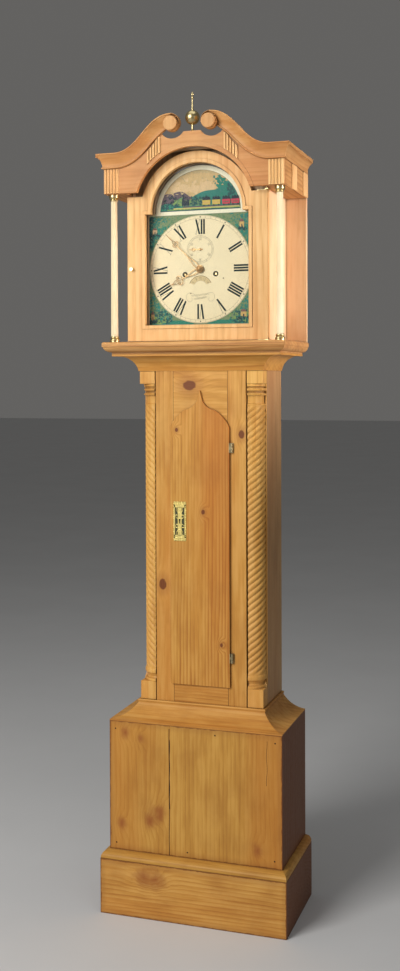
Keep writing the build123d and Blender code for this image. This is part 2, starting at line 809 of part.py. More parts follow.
# ---- dial and hands ----
def dial_plate():
    """Break-arch dial with two winding holes and holes for the hands."""
    low = DIAL_Z - DIAL_HALF
    shoulder = DIAL_Z + DIAL_HALF
    spring = math.sqrt(DIAL_ARCH_R**2 - (shoulder - ARCH_Z) ** 2)
    arch = ((0, ARCH_Z + DIAL_ARCH_R), (spring, shoulder))
    h = DIAL_HALF
    face = outline((-h, low), (-h, shoulder), (-spring, shoulder), arch, (h, shoulder), (h, low))
    back = DIAL_DEPTH - DIAL_THICK
    plate = slab(face, back, DIAL_DEPTH)
    plate -= disc(0, DIAL_Z, 6, back - 1, DIAL_DEPTH + 1)
    plate -= disc(0, SECONDS_Z, 2, back - 1, DIAL_DEPTH + 1)
    for x in (-WIND_X, WIND_X):
        plate -= disc(x, WIND_Z, 6, back - 1, DIAL_DEPTH + 1)
    return plate


def hand(x, z, angle, length, tail, width, boss, d0, d1):
    """Clock hand as a pierced leaf; the angle is clockwise from twelve."""
    face = Circle(boss)
    blade = outline(
        (-0.3 * width, -tail),
        (-0.3 * width, 0.2 * length),
        ((-0.5 * width, 0.45 * length), (-0.28 * width, 0.68 * length)),
        (0, length),
        (0.28 * width, 0.68 * length),
        ((0.5 * width, 0.45 * length), (0.3 * width, 0.2 * length)),
        (0.3 * width, -tail),
    )
    face = face + blade
    return slab(Pos(x, z) * Rot(0, 0, -angle) * face, d0, d1)


def minute_hand():
    blank = hand(0, DIAL_Z, MINUTE_ANGLE, MINUTE_LENGTH, 0, 16, 7, 203.0, 204.2)
    return blank - disc(0, DIAL_Z, 2.0, 200, 206)


def hour_hand():
    blank = hand(0, DIAL_Z, HOUR_ANGLE, HOUR_LENGTH, 0, 22, 8.5, 200.0, 201.2)
    return blank - disc(0, DIAL_Z, 5.0, 198, 203)


def seconds_hand():
    blank = hand(0, SECONDS_Z, SECOND_ANGLE, 33, 9, 4.5, 2.6, 197.0, 197.8)
    return blank - disc(0, SECONDS_Z, 1.0, 195.5, 199)


# ---- gears ----
def gear_face(teeth, module, turn):
    """Flat-sided gear outline; the middle of one tooth points at the angle turn."""
    pitch = 2 * math.pi / teeth
    radius = module * teeth / 2
    tip = radius + 0.75 * module
    root = radius - 1.05 * module
    if teeth < 12:
        root = radius - 1.15 * module
    points = []
    for i in range(teeth):
        middle = math.radians(turn) + i * pitch
        for share, r in ((-0.25, root), (-0.11, tip), (0.11, tip), (0.25, root)):
            angle = middle + share * pitch
            points.append((r * math.cos(angle), r * math.sin(angle)))
    return make_face(Polyline(*points, close=True))


def gear(x, z, teeth, module, turn, d0, d1, bore=0.0):
    wheel = slab(Pos(x, z) * gear_face(teeth, module, turn), d0, d1)
    if bore:
        wheel -= disc(x, z, bore, d0 - 1, d1 + 1)
    return wheel


def crossings(x, z, inner, outer, d0, d1):
    """Five round windows that lighten a wheel."""
    middle = (inner + outer) / 2
    radius = (outer - inner) / 2
    cuts = None
    for i in range(5):
        angle = math.radians(90 + 72 * i)
        cut = disc(x + middle * math.cos(angle), z + middle * math.sin(angle), radius, d0 - 1, d1 + 1)
        cuts = cut if cuts is None else cuts + cut
    return cuts


def bearing(a, b):
    """Direction from arbor a to arbor b, in degrees."""
    return math.degrees(math.atan2(b[1] - a[1], b[0] - a[0]))


CENTRE = (0.0, DIAL_Z)
BARREL = (WIND_X, WIND_Z)
ESCAPE = (0.0, SECONDS_Z)
GREAT_MODULE = 2 * math.dist(CENTRE, BARREL) / (GREAT_TEETH + PINION_LEAVES)
CENTRE_REACH = TOOTH * (CENTRE_TEETH + PINION_LEAVES) / 2
THIRD_REACH = TOOTH * (THIRD_TEETH + ESCAPE_LEAVES) / 2
ARBOR_RISE = (CENTRE_REACH**2 - THIRD_REACH**2 + (SECONDS_Z - DIAL_Z) ** 2) / (2 * (SECONDS_Z - DIAL_Z))
THIRD = (math.sqrt(CENTRE_REACH**2 - ARBOR_RISE**2), DIAL_Z + ARBOR_RISE)
MINUTE_WHEEL = (
    -MOTION_DISTANCE * math.sin(math.radians(35)),
    DIAL_Z - MOTION_DISTANCE * math.cos(math.radians(35)),
)
BACK = BACK_PLATE_DEPTH
FRONT = FRONT_PLATE_DEPTH
PIVOT_HOLE = 1.55


# ---- movement ----
def plate_outline():
    return Pos(0, (PLATE_BOTTOM + PLATE_TOP) / 2) * Rectangle(2 * PLATE_HALF, PLATE_TOP - PLATE_BOTTOM)


def movement_plates():
    """Brass front and back plates with their pivot holes."""
    plates = []
    arbors = [CENTRE, THIRD, ESCAPE, (0, PALLET_Z), hammer_arbor(), BARREL, (-WIND_X, WIND_Z)]
    for d0 in (BACK, FRONT):
        plate = slab(plate_outline(), d0, d0 + PLATE_THICK)
        for x, z in arbors:
            plate -= disc(x, z, PIVOT_HOLE, d0 - 1, d0 + PLATE_THICK + 1)
        plates.append(plate)
    back, front = plates
    for x, z in (CENTRE, BARREL, (-WIND_X, WIND_Z)):
        front -= disc(x, z, 3.55, FRONT - 1, FRONT + PLATE_THICK + 1)
    front -= disc(*ESCAPE, 2.0, FRONT - 1, FRONT + PLATE_THICK + 1)
    for x, z in pillar_places():
        front -= disc(x, z, 3.0, FRONT - 1, FRONT + PLATE_THICK + 1)
    cock = board(-12, 12, PENDULUM_DEPTH - 6, BACK, PALLET_Z + 5, PALLET_Z + 11)
    cock -= board(-1.5, 1.5, PENDULUM_DEPTH - 7, PENDULUM_DEPTH + 6, PALLET_Z, PALLET_Z + 12)
    return [back + cock, front]


def pillar_places():
    low = PLATE_BOTTOM + 10
    high = PLATE_TOP - 10
    narrow = PLATE_HALF - 22
    wide = PLATE_HALF - 8
    return [(-narrow, low), (narrow, low), (-wide, high), (wide, high)]


def movement_pillars():
    """Four turned pillars, and four feet that carry the dial."""
    pieces = []
    for x, z in pillar_places():
        pillar = disc(x, z, 5, BACK + PLATE_THICK, FRONT)
        pillar += disc(x, z, 7, BACK + PLATE_THICK, BACK + PLATE_THICK + 4)
        pillar += disc(x, z, 7, FRONT - 4, FRONT)
        pillar += disc(x, z, 6.5, 128, 136)
        pillar += disc(x, z, 3.0, FRONT, FRONT + PLATE_THICK)
        pieces.append(pillar)
        inward = x - math.copysign(13, x)
        foot = disc(inward, z, 3.5, FRONT + PLATE_THICK, DIAL_DEPTH - DIAL_THICK)
        pieces.append(foot)
    return pieces + [minute_stud()]


def going_great_wheel():
    x, z = BARREL
    turn = bearing(BARREL, CENTRE) + 180.0 / GREAT_TEETH
    wheel = gear(x, z, GREAT_TEETH, GREAT_MODULE, turn, BACK + 6, BACK + 9, 3.05)
    return wheel - crossings(x, z, 10, 36, BACK + 6, BACK + 9)


def strike_great_wheel():
    x, z = -WIND_X, WIND_Z
    wheel = gear(x, z, GREAT_TEETH, GREAT_MODULE, 0, BACK + 11.5, BACK + 14.0, 3.05)
    return wheel - crossings(x, z, 10, 36, BACK + 11.5, BACK + 14.0)


def barrel(x, start):
    """Grooved line barrel on an arbor with a winding square."""
    z = WIND_Z
    body = disc(x, z, BARREL_R, start, FRONT - 14)
    body += disc(x, z, BARREL_R + 1.6, start, start + 1.5)
    body += disc(x, z, BARREL_R + 1.6, FRONT - 15.5, FRONT - 14)
    body += disc(x, z, 3.0, BACK + PLATE_THICK + 0.5, start)
    body += disc(x, z, 1.5, BACK, BACK + PLATE_THICK + 0.5)
    body += disc(x, z, 3.5, FRONT - 14, DIAL_DEPTH - 9)
    square = Pos(x, z) * Rectangle(5, 5)
    return body + slab(square, DIAL_DEPTH - 9, DIAL_DEPTH - 1)


def going_barrel():
    return barrel(WIND_X, BACK + 10.5)


def strike_barrel():
    return barrel(-WIND_X, BACK + 15.5)


def centre_wheel():
    """Centre arbor with its pinion, wheel and cannon pinion."""
    x, z = CENTRE
    pinion_turn = bearing(CENTRE, BARREL)
    wheel_turn = bearing(CENTRE, THIRD) + 180.0 / CENTRE_TEETH
    cannon_turn = bearing(CENTRE, MINUTE_WHEEL) + 180.0 / CANNON_TEETH
    d = 151.0
    part = disc(x, z, 1.5, BACK, BACK + PLATE_THICK + 0.5)
    part += disc(x, z, 2.2, BACK + PLATE_THICK + 0.5, FRONT - 1)
    part += gear(x, z, PINION_LEAVES, GREAT_MODULE, pinion_turn, BACK + 5, BACK + 10)
    wheel = gear(x, z, CENTRE_TEETH, TOOTH, wheel_turn, d, d + 2)
    part += wheel - crossings(x, z, 7, 22, d, d + 2)
    part += disc(x, z, 3.5, FRONT - 1, FRONT + 5)
    part += gear(x, z, CANNON_TEETH, MOTION_MODULE, cannon_turn, FRONT + 5, FRONT + 8)
    part += disc(x, z, 3.0, FRONT + 8, 202.9)
    part += disc(x, z, 2.0, 202.9, 206)
    return part


def minute_wheel():
    """Motion work: the minute wheel and its pinion on a stud."""
    x, z = MINUTE_WHEEL
    part = gear(x, z, MINUTE_TEETH, MOTION_MODULE, bearing(MINUTE_WHEEL, CENTRE), FRONT + 5, FRONT + 8)
    module = 2 * MOTION_DISTANCE / (HOUR_PINION + HOUR_TEETH)
    part += gear(x, z, HOUR_PINION, module, bearing(MINUTE_WHEEL, CENTRE), FRONT + 8, FRONT + 13)
    return part - disc(x, z, 1.0, FRONT, FRONT + 20)


def minute_stud():
    x, z = MINUTE_WHEEL
    return disc(x, z, 0.95, FRONT + PLATE_THICK, FRONT + 14)


def hour_wheel():
    """Hour wheel on the pipe that carries the hour hand."""
    module = 2 * MOTION_DISTANCE / (HOUR_PINION + HOUR_TEETH)
    turn = bearing(CENTRE, MINUTE_WHEEL) + 180.0 / HOUR_TEETH
    part = gear(0, DIAL_Z, HOUR_TEETH, module, turn, FRONT + 9, FRONT + 11.5)
    part += disc(0, DIAL_Z, 5.0, FRONT + 11.5, 202.0)
    return part - disc(0, DIAL_Z, 3.05, FRONT + 8, 204)


def third_wheel():
    x, z = THIRD
    d = 126.0
    part = disc(x, z, 1.5, BACK, BACK + PLATE_THICK + 0.5)
    part += disc(x, z, 2.2, BACK + PLATE_THICK + 0.5, FRONT - 1)
    part += disc(x, z, 1.5, FRONT - 1, FRONT + PLATE_THICK)
    part += gear(x, z, PINION_LEAVES, TOOTH, bearing(THIRD, CENTRE), 149, 155)
    turn = bearing(THIRD, ESCAPE) + 180.0 / THIRD_TEETH
    wheel = gear(x, z, THIRD_TEETH, TOOTH, turn, d, d + 2)
    return part + (wheel - crossings(x, z, 6, 21, d, d + 2))


def escape_wheel():
    """Thirty-tooth escape wheel; its front pivot carries the seconds hand."""
    x, z = ESCAPE
    points = []
    for i in range(30):
        for share, radius in ((0.0, 15.5), (0.62, 16.2), (0.7, 18.0)):
            angle = math.radians(12 * (i + share))
            points.append((radius * math.cos(angle), radius * math.sin(angle)))
    face = make_face(Polyline(*points, close=True))
    part = slab(Pos(x, z) * face, 140, 141.5)
    part += disc(x, z, 1.5, BACK, BACK + PLATE_THICK + 0.5)
    part += disc(x, z, 2.0, BACK + PLATE_THICK + 0.5, FRONT - 1)
    part += gear(x, z, ESCAPE_LEAVES, TOOTH, bearing(ESCAPE, THIRD), 124, 130)
    part += disc(x, z, 1.5, FRONT - 1, DIAL_DEPTH + 1)
    return part + disc(x, z, 1.0, DIAL_DEPTH + 1, 198.5)


def pallet_anchor():
    """Anchor on the pallet arbor, with the crutch behind the back plate."""
    z = PALLET_Z
    part = disc(0, z, 1.5, BACK - 8, FRONT + PLATE_THICK)
    part += disc(0, z, 5, 136, 145)
    for side in (-1, 1):
        arm = outline(
            (0, z + 4),
            (side * 13, z - 2),
            (side * 17, z - 13),
            (side * 14.5, z - 13.5),
            (side * 11, z - 5),
            (0, z - 3.5),
        )
        part += slab(arm, 139, 142.5)
    crutch = board(-2, 2, BACK - 8, BACK - 5, z - 105, z)
    fork = board(-4.6, 4.6, PENDULUM_DEPTH - 5, BACK - 5, z - 108, z - 104)
    fork -= board(-2.4, 2.4, PENDULUM_DEPTH - 6, PENDULUM_DEPTH + 3.5, z - 109, z - 103)
    return part + crutch + fork


# ---- strike hammer and bell ----
def hammer_arbor():
    return (-58.0, 1845.0)


def bell_hammer():
    x, z = hammer_arbor()
    part = disc(x, z, 1.5, BACK, FRONT + PLATE_THICK)
    part += disc(x, z, 3.5, LINE_DEPTH - 4, LINE_DEPTH + 4)
    part += board(x - 1.5, x + 1.5, LINE_DEPTH - 2, LINE_DEPTH + 2, z, z + 50)
    head = Pos(x, Y_BACK - LINE_DEPTH, z + 54) * Rot(0, 90, 0) * Cylinder(6, 13)
    return part + head


def bell():
    """Bell on an iron stand that is screwed to the back plate."""
    rim = 1896.0
    crown = 1938.0
    face = outline(
        (0, crown),
        (8, crown),
        ((31, crown - 6), (44, rim + 14)),
        (50, rim),
        (47.5, rim),
        (41.5, rim + 13),
        ((29, crown - 8.5), (8, crown - 2.5)),
        (0, crown - 2.5),
    )
    shell = Pos(0, Y_BACK - LINE_DEPTH, 0) * revolve(Plane.XZ * face, Axis.Z)
    d0 = BACK - 4
    top = crown + 12
    stand = board(38, 48, d0, BACK, 1840, top)
    stand += board(-6, 48, d0, BACK, top - 6, top)
    stand += board(-6, 6, d0, LINE_DEPTH + 6, top - 4, top)
    stand += post(0, LINE_DEPTH, 3, crown, top - 4)
    return [shell, stand]


# ---- pendulum ----
def pendulum_rod():
    """Steel rod hung from a thin suspension spring held in brass chops."""
    rod = post(0, PENDULUM_DEPTH, 2.0, BOB_Z - BOB_R - 16, PALLET_Z - 12)
    spring = board(-0.25, 0.25, PENDULUM_DEPTH - 4, PENDULUM_DEPTH + 4, PALLET_Z - 14, PALLET_Z + 12)
    top = PALLET_Z + 11.6
    chops = board(-4, 4, PENDULUM_DEPTH - 5, PENDULUM_DEPTH + 5, top, top + 6)
    block = board(-3, 3, PENDULUM_DEPTH - 4.5, PENDULUM_DEPTH + 4.5, PALLET_Z - 20, PALLET_Z - 10)
    return rod + spring + chops + block


def pendulum_bob():
    """Lens-shaped bob, and the rating nut under it."""
    half_thick = 12.0
    rim = 1.2
    face = outline(
        (0, -half_thick),
        ((30, -8.5), (BOB_R, -rim)),
        (BOB_R, rim),
        ((30, 8.5), (0, half_thick)),
    )
    lens = revolve(Plane.XZ * face, Axis.Z)
    lens = Pos(0, Y_BACK - PENDULUM_DEPTH, BOB_Z) * Rot(90, 0, 0) * lens
    rod_hole = post(0, PENDULUM_DEPTH, 2.05, BOB_Z - 2 * BOB_R, BOB_Z + 2 * BOB_R)
    nut = post(0, PENDULUM_DEPTH, 9, BOB_Z - BOB_R - 10, BOB_Z - BOB_R - 4)
    return [lens - rod_hole, nut - rod_hole]


# ---- driving weights ----
def weight(side):
    """Iron weight hooked to the stirrup of its pulley."""
    x = weight_x()
    d = LINE_DEPTH
    r = WEIGHT_R
    body = turned(
        x,
        d,
        (0, WEIGHT_BOTTOM),
        (r - 2, WEIGHT_BOTTOM),
        (r, WEIGHT_BOTTOM + 2),
        (r, WEIGHT_TOP - 8),
        ((r - 2, WEIGHT_TOP - 2), (r - 10, WEIGHT_TOP)),
        (0, WEIGHT_TOP),
    )
    body += post(x, d, 2, WEIGHT_TOP, PULLEY_Z - 24)
    stirrup = board(x - 3, x + 3, d - 7, d - 5, PULLEY_Z - 28, PULLEY_Z + 5)
    stirrup += board(x - 3, x + 3, d + 5, d + 7, PULLEY_Z - 28, PULLEY_Z + 5)
    stirrup += board(x - 3, x + 3, d - 7, d + 7, PULLEY_Z - 28, PULLEY_Z - 25)
    stirrup += disc(x, PULLEY_Z, 2, d - 7, d + 7)
    wheel = disc(x, PULLEY_Z, PULLEY_R - 0.2, d - 4.5, d + 4.5)
    wheel += disc(x, PULLEY_Z, PULLEY_R + 2, d - 4.5, d - 2)
    wheel += disc(x, PULLEY_Z, PULLEY_R + 2, d + 2, d + 4.5)
    wheel -= disc(x, PULLEY_Z, 2.05, d - 6, d + 6)
    pieces = [body + stirrup, wheel]
    if side < 0:
        pieces = [mirror(piece, about=Plane.YZ) for piece in pieces]
    return pieces


def line(side):
    """Gut line: down from the barrel, round the pulley and up to the seat board."""
    radius = PULLEY_R + LINE_R
    x = weight_x()
    down = post(line_out_x(), LINE_DEPTH, LINE_R, PULLEY_Z, WIND_Z)
    up = post(line_back_x(), LINE_DEPTH, LINE_R, PULLEY_Z, PLATE_BOTTOM + 3)
    knot = post(line_back_x(), LINE_DEPTH, 3.2, PLATE_BOTTOM, PLATE_BOTTOM + 5)
    ring = Pos(x, Y_BACK - LINE_DEPTH, PULLEY_Z) * Rot(90, 0, 0) * Torus(radius, LINE_R)
    ring &= board(x - 30, x + 30, LINE_DEPTH - 5, LINE_DEPTH + 5, PULLEY_Z - 30, PULLEY_Z)
    whole = down + up + knot + ring
    return whole if side > 0 else mirror(whole, about=Plane.YZ)


NODES = {
    "base_floor_board": base_floor_board,
    "skirt_boards": skirt_boards,
    "skirt_moulding": skirt_moulding,
    "base_boards": base_boards,
    "waist_moulding": waist_moulding,
    "trunk_face_frame": trunk_face_frame,
    "trunk_side_boards": trunk_side_boards,
    "quarter_columns": quarter_columns,
    "backboard": backboard,
    "backboard_ears": backboard_ears,
    "throat_moulding": throat_moulding,
    "seat_board": seat_board,
    "case_hinges": case_hinges,
    "trunk_door": trunk_door,
    "door_hinges": door_hinges,
    "door_lock_case": door_lock_case,
    "lock_bolt": lock_bolt,
    "escutcheon_plate": escutcheon_plate,
    "hood_base_moulding": hood_base_moulding,
    "hood_side_boards": hood_side_boards,
    "dial_mask": dial_mask,
    "hood_frieze_board": hood_frieze_board,
    "frieze_side_boards": frieze_side_boards,
    "arch_moulding": arch_moulding,
    "swan_necks": swan_necks,
    "scroll_discs": scroll_discs,
    "side_cornices": side_cornices,
    "reeded_blocks": reeded_blocks,
    "hood_roof_board": hood_roof_board,
    "hood_columns": hood_columns,
    "column_brasses": column_brasses,
    "finial": finial,
    "hood_door_frame": hood_door_frame,
    "hood_door_bead": hood_door_bead,
    "hood_door_glass": hood_door_glass,
    "hood_door_fittings": hood_door_fittings,
    "dial_plate": dial_plate,
    "movement_plates": movement_plates,
    "movement_pillars": movement_pillars,
    "going_great_wheel": going_great_wheel,
    "going_barrel": going_barrel,
    "strike_great_wheel": strike_great_wheel,
    "strike_barrel": strike_barrel,
    "centre_wheel": centre_wheel,
    "minute_hand": minute_hand,
    "minute_wheel": minute_wheel,
    "hour_wheel": hour_wheel,
    "hour_hand": hour_hand,
    "third_wheel": third_wheel,
    "escape_wheel": escape_wheel,
    "seconds_hand": seconds_hand,
    "pallet_anchor": pallet_anchor,
    "pendulum_rod": pendulum_rod,
    "pendulum_bob": pendulum_bob,
    "bell_hammer": bell_hammer,
    "bell": bell,
    "going_weight": lambda: weight(1),
    "strike_weight": lambda: weight(-1),
    "going_line": lambda: line(1),
    "strike_line": lambda: line(-1),
}


def main():
    os.makedirs("parts", exist_ok=True)
    for name, make in NODES.items():
        made = make()
        pieces = made if isinstance(made, list) else [made]
        write(name, *pieces)


main()
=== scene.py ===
import math
import random

import bmesh
import bpy
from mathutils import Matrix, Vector


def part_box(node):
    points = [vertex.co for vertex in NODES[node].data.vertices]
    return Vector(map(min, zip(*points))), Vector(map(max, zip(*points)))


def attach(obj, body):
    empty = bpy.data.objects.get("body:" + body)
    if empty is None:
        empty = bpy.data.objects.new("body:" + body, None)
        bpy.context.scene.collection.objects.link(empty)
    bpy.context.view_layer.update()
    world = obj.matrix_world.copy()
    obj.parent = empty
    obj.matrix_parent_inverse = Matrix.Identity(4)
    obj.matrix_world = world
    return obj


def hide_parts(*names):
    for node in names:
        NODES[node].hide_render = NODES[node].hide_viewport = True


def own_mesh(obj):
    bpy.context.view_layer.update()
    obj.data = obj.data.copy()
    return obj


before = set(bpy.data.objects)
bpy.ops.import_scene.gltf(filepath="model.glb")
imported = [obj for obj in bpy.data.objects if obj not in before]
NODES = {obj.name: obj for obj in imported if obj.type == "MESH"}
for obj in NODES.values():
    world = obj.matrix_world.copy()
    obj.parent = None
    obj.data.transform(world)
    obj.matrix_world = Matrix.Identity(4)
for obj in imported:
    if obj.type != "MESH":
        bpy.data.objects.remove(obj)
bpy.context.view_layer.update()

random.seed(7)

# Everything is in metres, in the frame of the CAD model: the front faces -Y.
Y_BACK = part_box("backboard")[1].y
MM = 0.001


def at_depth(depth_mm):
    """The y of a depth in millimetres, measured forward from the flat back."""
    return Y_BACK - depth_mm * MM


# ---- node helpers
class Graph:
    """Small helper that adds and links shader nodes in one material."""

    def __init__(self, name):
        self.material = bpy.data.materials.new(name)
        self.material.use_nodes = True
        self.tree = self.material.node_tree
        self.shader = self.tree.nodes["Principled BSDF"]
        coords = self.tree.nodes.new("ShaderNodeTexCoord")
        self.coords = coords.outputs["Object"]

    def put(self, value, socket):
        if isinstance(value, bpy.types.NodeSocket):
            self.tree.links.new(value, socket)
        else:
            socket.default_value = value

    def math(self, operation, a, b=0.0):
        node = self.tree.nodes.new("ShaderNodeMath")
        node.operation = operation
        for value, socket in zip((a, b), node.inputs):
            self.put(value, socket)
        return node.outputs[0]

    def plus(self, a, b):
        return self.math("ADD", a, b)

    def minus(self, a, b):
        return self.math("SUBTRACT", a, b)

    def times(self, a, b):
        return self.math("MULTIPLY", a, b)

    def noise(self, vector, scale, detail=3.0, rough=0.5):
        node = self.tree.nodes.new("ShaderNodeTexNoise")
        self.put(vector, node.inputs["Vector"])
        node.inputs["Scale"].default_value = scale
        node.inputs["Detail"].default_value = detail
        node.inputs["Roughness"].default_value = rough
        return node.outputs["Fac"]

    def stretch(self, scale, offset=(0.0, 0.0, 0.0), vector=None):
        node = self.tree.nodes.new("ShaderNodeMapping")
        self.put(self.coords if vector is None else vector, node.inputs["Vector"])
        node.inputs["Scale"].default_value = scale
        node.inputs["Location"].default_value = offset
        return node.outputs[0]

    def split(self, vector=None):
        node = self.tree.nodes.new("ShaderNodeSeparateXYZ")
        self.put(self.coords if vector is None else vector, node.inputs[0])
        return node.outputs

    def vector(self, operation, *values):
        node = self.tree.nodes.new("ShaderNodeVectorMath")
        node.operation = operation
        for value, socket in zip(values, node.inputs):
            self.put(value, socket)
        return node

    def ramp(self, factor, stops):
        node = self.tree.nodes.new("ShaderNodeValToRGB")
        self.put(factor, node.inputs[0])
        elements = node.color_ramp.elements
        while len(elements) < len(stops):
            elements.new(0.5)
        for element, (place, colour) in zip(elements, stops):
            element.position = place
            element.color = (*colour, 1.0)
        return node.outputs[0]

    def remap(self, value, low, high, to_low=0.0, to_high=1.0):
        node = self.tree.nodes.new("ShaderNodeMapRange")
        node.interpolation_type = "SMOOTHSTEP"
        for entry, socket in zip((value, low, high, to_low, to_high), node.inputs):
            self.put(entry, socket)
        return node.outputs[0]

    def mix(self, factor, a, b, blend="MIX"):
        node = self.tree.nodes.new("ShaderNodeMix")
        node.data_type = "RGBA"
        node.blend_type = blend
        self.put(factor, node.inputs["Factor"])
        for value, key in ((a, 6), (b, 7)):
            if isinstance(value, tuple):
                value = (*value, 1.0)
            self.put(value, node.inputs[key])
        return node.outputs[2]

    def bump(self, height, strength, distance):
        node = self.tree.nodes.new("ShaderNodeBump")
        node.inputs["Strength"].default_value = strength
        node.inputs["Distance"].default_value = distance
        self.put(height, node.inputs["Height"])
        self.tree.links.new(node.outputs[0], self.shader.inputs["Normal"])

    def base(self, **values):
        for key, value in values.items():
            self.put(value, self.shader.inputs[key.replace("_", " ")])


# Where the grain runs: the axes across and into the board (0 is x), how far the long and the fine
# figure stretch along it, and the stretch of a knot.
GRAINS = {
    "Z": (0, 1, (1, 1, 0.10), (1, 1, 0.016), (1, 0.25, 0.72)),
    "X": (2, 1, (0.10, 1, 1), (0.016, 1, 1), (0.72, 0.25, 1)),
    "Y": (2, 0, (1, 0.10, 1), (1, 0.016, 1), (0.25, 0.72, 1)),
}
# near-black brown of the painted shade in corners and grooves
CREVICE_SHADE = (0.085, 0.028, 0.012)
RUBBED = (0.30, 0.12, 0.035)
WORN = (0.12, 0.035, 0.012)
# colour multiplied into the end faces as painted shade
SHADED_SIDE = (0.26, 0.15, 0.13)
KNOT_HALO = (0.30, 0.10, 0.03)
SOFT_KNOT = (0.30, 0.075, 0.020)
KNOT_RINGS = [(0.0, (0.05, 0.010, 0.007)), (0.6, (0.13, 0.030, 0.018)), (1.0, (0.07, 0.014, 0.010))]


def knot_fields(g, knots, stretch, soft):
    """How far the knots push the rings aside, and where their own dark wood shows."""
    swell = mask = None
    ragged, noise_scale = (1.6, 38) if soft else (0.45, 90)
    inner, outer = (0.25, 2.3) if soft else (0.92, 1.18)
    for *centre, radius in knots:
        near = g.vector("SUBTRACT", g.coords, tuple(centre))
        length = g.vector("LENGTH", g.stretch(stretch, vector=near.outputs[0])).outputs["Value"]
        away = g.plus(length, g.times(g.noise(g.coords, noise_scale, 3), radius * ragged))
        push = g.remap(away, radius * 0.5, radius * 4.2, 1.0, 0.0)
        spot = g.remap(away, radius * inner, radius * outer, 1.0, 0.0)
        swell = push if swell is None else g.plus(swell, push)
        mask = spot if mask is None else g.math("MAXIMUM", mask, spot)
    return swell, mask


def worn_edges(g, colour, half, low, high):
    """Chips and a rubbed band along the edges of a face; half is its half width."""
    here = g.split()
    chip = g.times(g.noise(g.coords, 34, 4, 0.7), 0.011)
    near = g.minus(half, g.math("ABSOLUTE", here[0]))
    near = g.math("MINIMUM", near, g.minus(here[2], low))
    near = g.math("MINIMUM", near, g.minus(high, here[2]))
    wear = g.remap(g.minus(near, g.minus(chip, 0.004)), 0.0, 0.0022, 1.0, 0.0)
    colour = g.mix(g.times(wear, 0.72), colour, WORN)
    return g.mix(g.remap(near, 0.004, 0.022, 0.28, 0.0), colour, RUBBED)


def wood(
    name, light, mid, dark, grain="Z", knots=(), heart=(0.0, 0.06), rings=95.0, seed=0.0, red=0.5, depth=0.34,
    side=None, soft=False, edges=None,
):
    """Waxed pine. Growth rings run round a heart line behind the board; knots bend them.

    side is the half width past which the end faces get painted shade, soft makes smeared knots, and
    edges is the half width, foot and top of a face whose edges are worn.
    """
    g = Graph(name)
    place = g.split(g.stretch((1, 1, 1), (seed * 0.37, seed * 0.21, seed * 0.73)))
    cross, deep, squeeze, fibre, knot_stretch = GRAINS[grain]
    swell, mask = knot_fields(g, knots, knot_stretch, soft)

    # growth rings
    long_way = g.stretch(squeeze, (seed, 0.3, seed * 0.5))
    waver = g.times(g.noise(long_way, 5.5, 3, 0.55), 0.055)
    c = g.plus(g.minus(place[cross], heart[0]), waver)
    d = g.plus(place[deep], heart[1] + 0.5 * Y_BACK)
    radial = g.math("SQRT", g.plus(g.times(c, c), g.times(d, d)))
    radial = g.plus(radial, g.times(g.noise(long_way, 14, 3, 0.6), 0.012))
    if swell is not None:
        radial = g.plus(radial, g.times(swell, 0.018))
    wave = g.math("FRACT", g.times(radial, rings))
    late = g.times(g.math("POWER", wave, 2.2), g.remap(wave, 0.9, 1.0, 1.0, 0.0))
    fade = g.noise(g.stretch(squeeze, (seed, 7, 4)), 7.5, 2, 0.5)
    late = g.times(late, g.remap(fade, 0.40, 0.62, 0.25, 1.35))

    # fibres, streaks, warm areas and blotches
    fine = g.noise(g.stretch(fibre, (0, seed, 0)), 520, 4, 0.65)
    streak = g.noise(g.stretch(squeeze, (seed, 2, seed)), 62, 3, 0.6)
    body = g.plus(g.times(late, depth), g.times(fine, 0.28))
    body = g.plus(body, g.times(g.remap(streak, 0.36, 0.68), 0.34))
    colour = g.ramp(body, [(0.02, light), (0.42, mid), (0.95, dark)])
    broad = g.noise(g.stretch(squeeze, (3 + seed, 1, 2)), 4.2, 3, 0.6)
    warm = tuple(min(1.0, channel * factor) for channel, factor in zip(mid, (0.92, 0.62, 0.5)))
    colour = g.mix(g.times(g.remap(broad, 0.42, 0.72), red), colour, warm)
    blotch = g.noise(g.stretch((1, 1, 0.7), (seed, 5, 1)), 9, 4, 0.6)
    colour = g.mix(g.times(g.remap(blotch, 0.40, 0.75), 0.35), colour, dark)

    # worn edges from age; painted shade on the end faces and in the corners
    # painted shade: faces past the half width are darkened as if turned from the light
    if side is not None:
        turned = g.remap(g.math("ABSOLUTE", g.split()[0]), side - 0.002, side - 0.0006)
        colour = g.mix(turned, colour, SHADED_SIDE, "MULTIPLY")
    if edges is not None:
        colour = worn_edges(g, colour, *edges)
    # painted shade: ambient occlusion darkens corners, grooves and recesses
    painted_shade_ao = g.tree.nodes.new("ShaderNodeAmbientOcclusion")
    painted_shade_ao.samples = 6
    painted_shade_ao.inputs["Distance"].default_value = 0.011
    crevice_shade = g.remap(painted_shade_ao.outputs["AO"], 0.35, 0.85, 1.0, 0.0)
    colour = g.mix(g.times(crevice_shade, 0.62), colour, CREVICE_SHADE)

    if mask is not None:
        core = SOFT_KNOT if soft else g.ramp(g.math("FRACT", g.times(radial, rings * 2.2)), KNOT_RINGS)
        colour = g.mix(g.times(mask, 0.9 if soft else 0.92), colour, core)
        colour = g.mix(g.times(g.remap(swell, 0.35, 1.0), 0.35), colour, KNOT_HALO)
    scratch = g.noise(g.stretch((1, 1, 1), (seed, 0, 9)), 60, 5, 0.7)
    gloss = g.plus(g.plus(0.30, g.times(scratch, 0.22)), g.times(late, 0.06))
    g.base(Base_Color=colour, Roughness=gloss)
    g.base(Coat_Weight=0.03, Coat_Roughness=0.30, Specular_IOR_Level=0.15)
    relief = g.plus(g.plus(g.times(late, 0.6), g.times(fine, 0.6)), g.times(blotch, 1.2))
    g.bump(relief, 0.35, 0.0006)
    return g.material


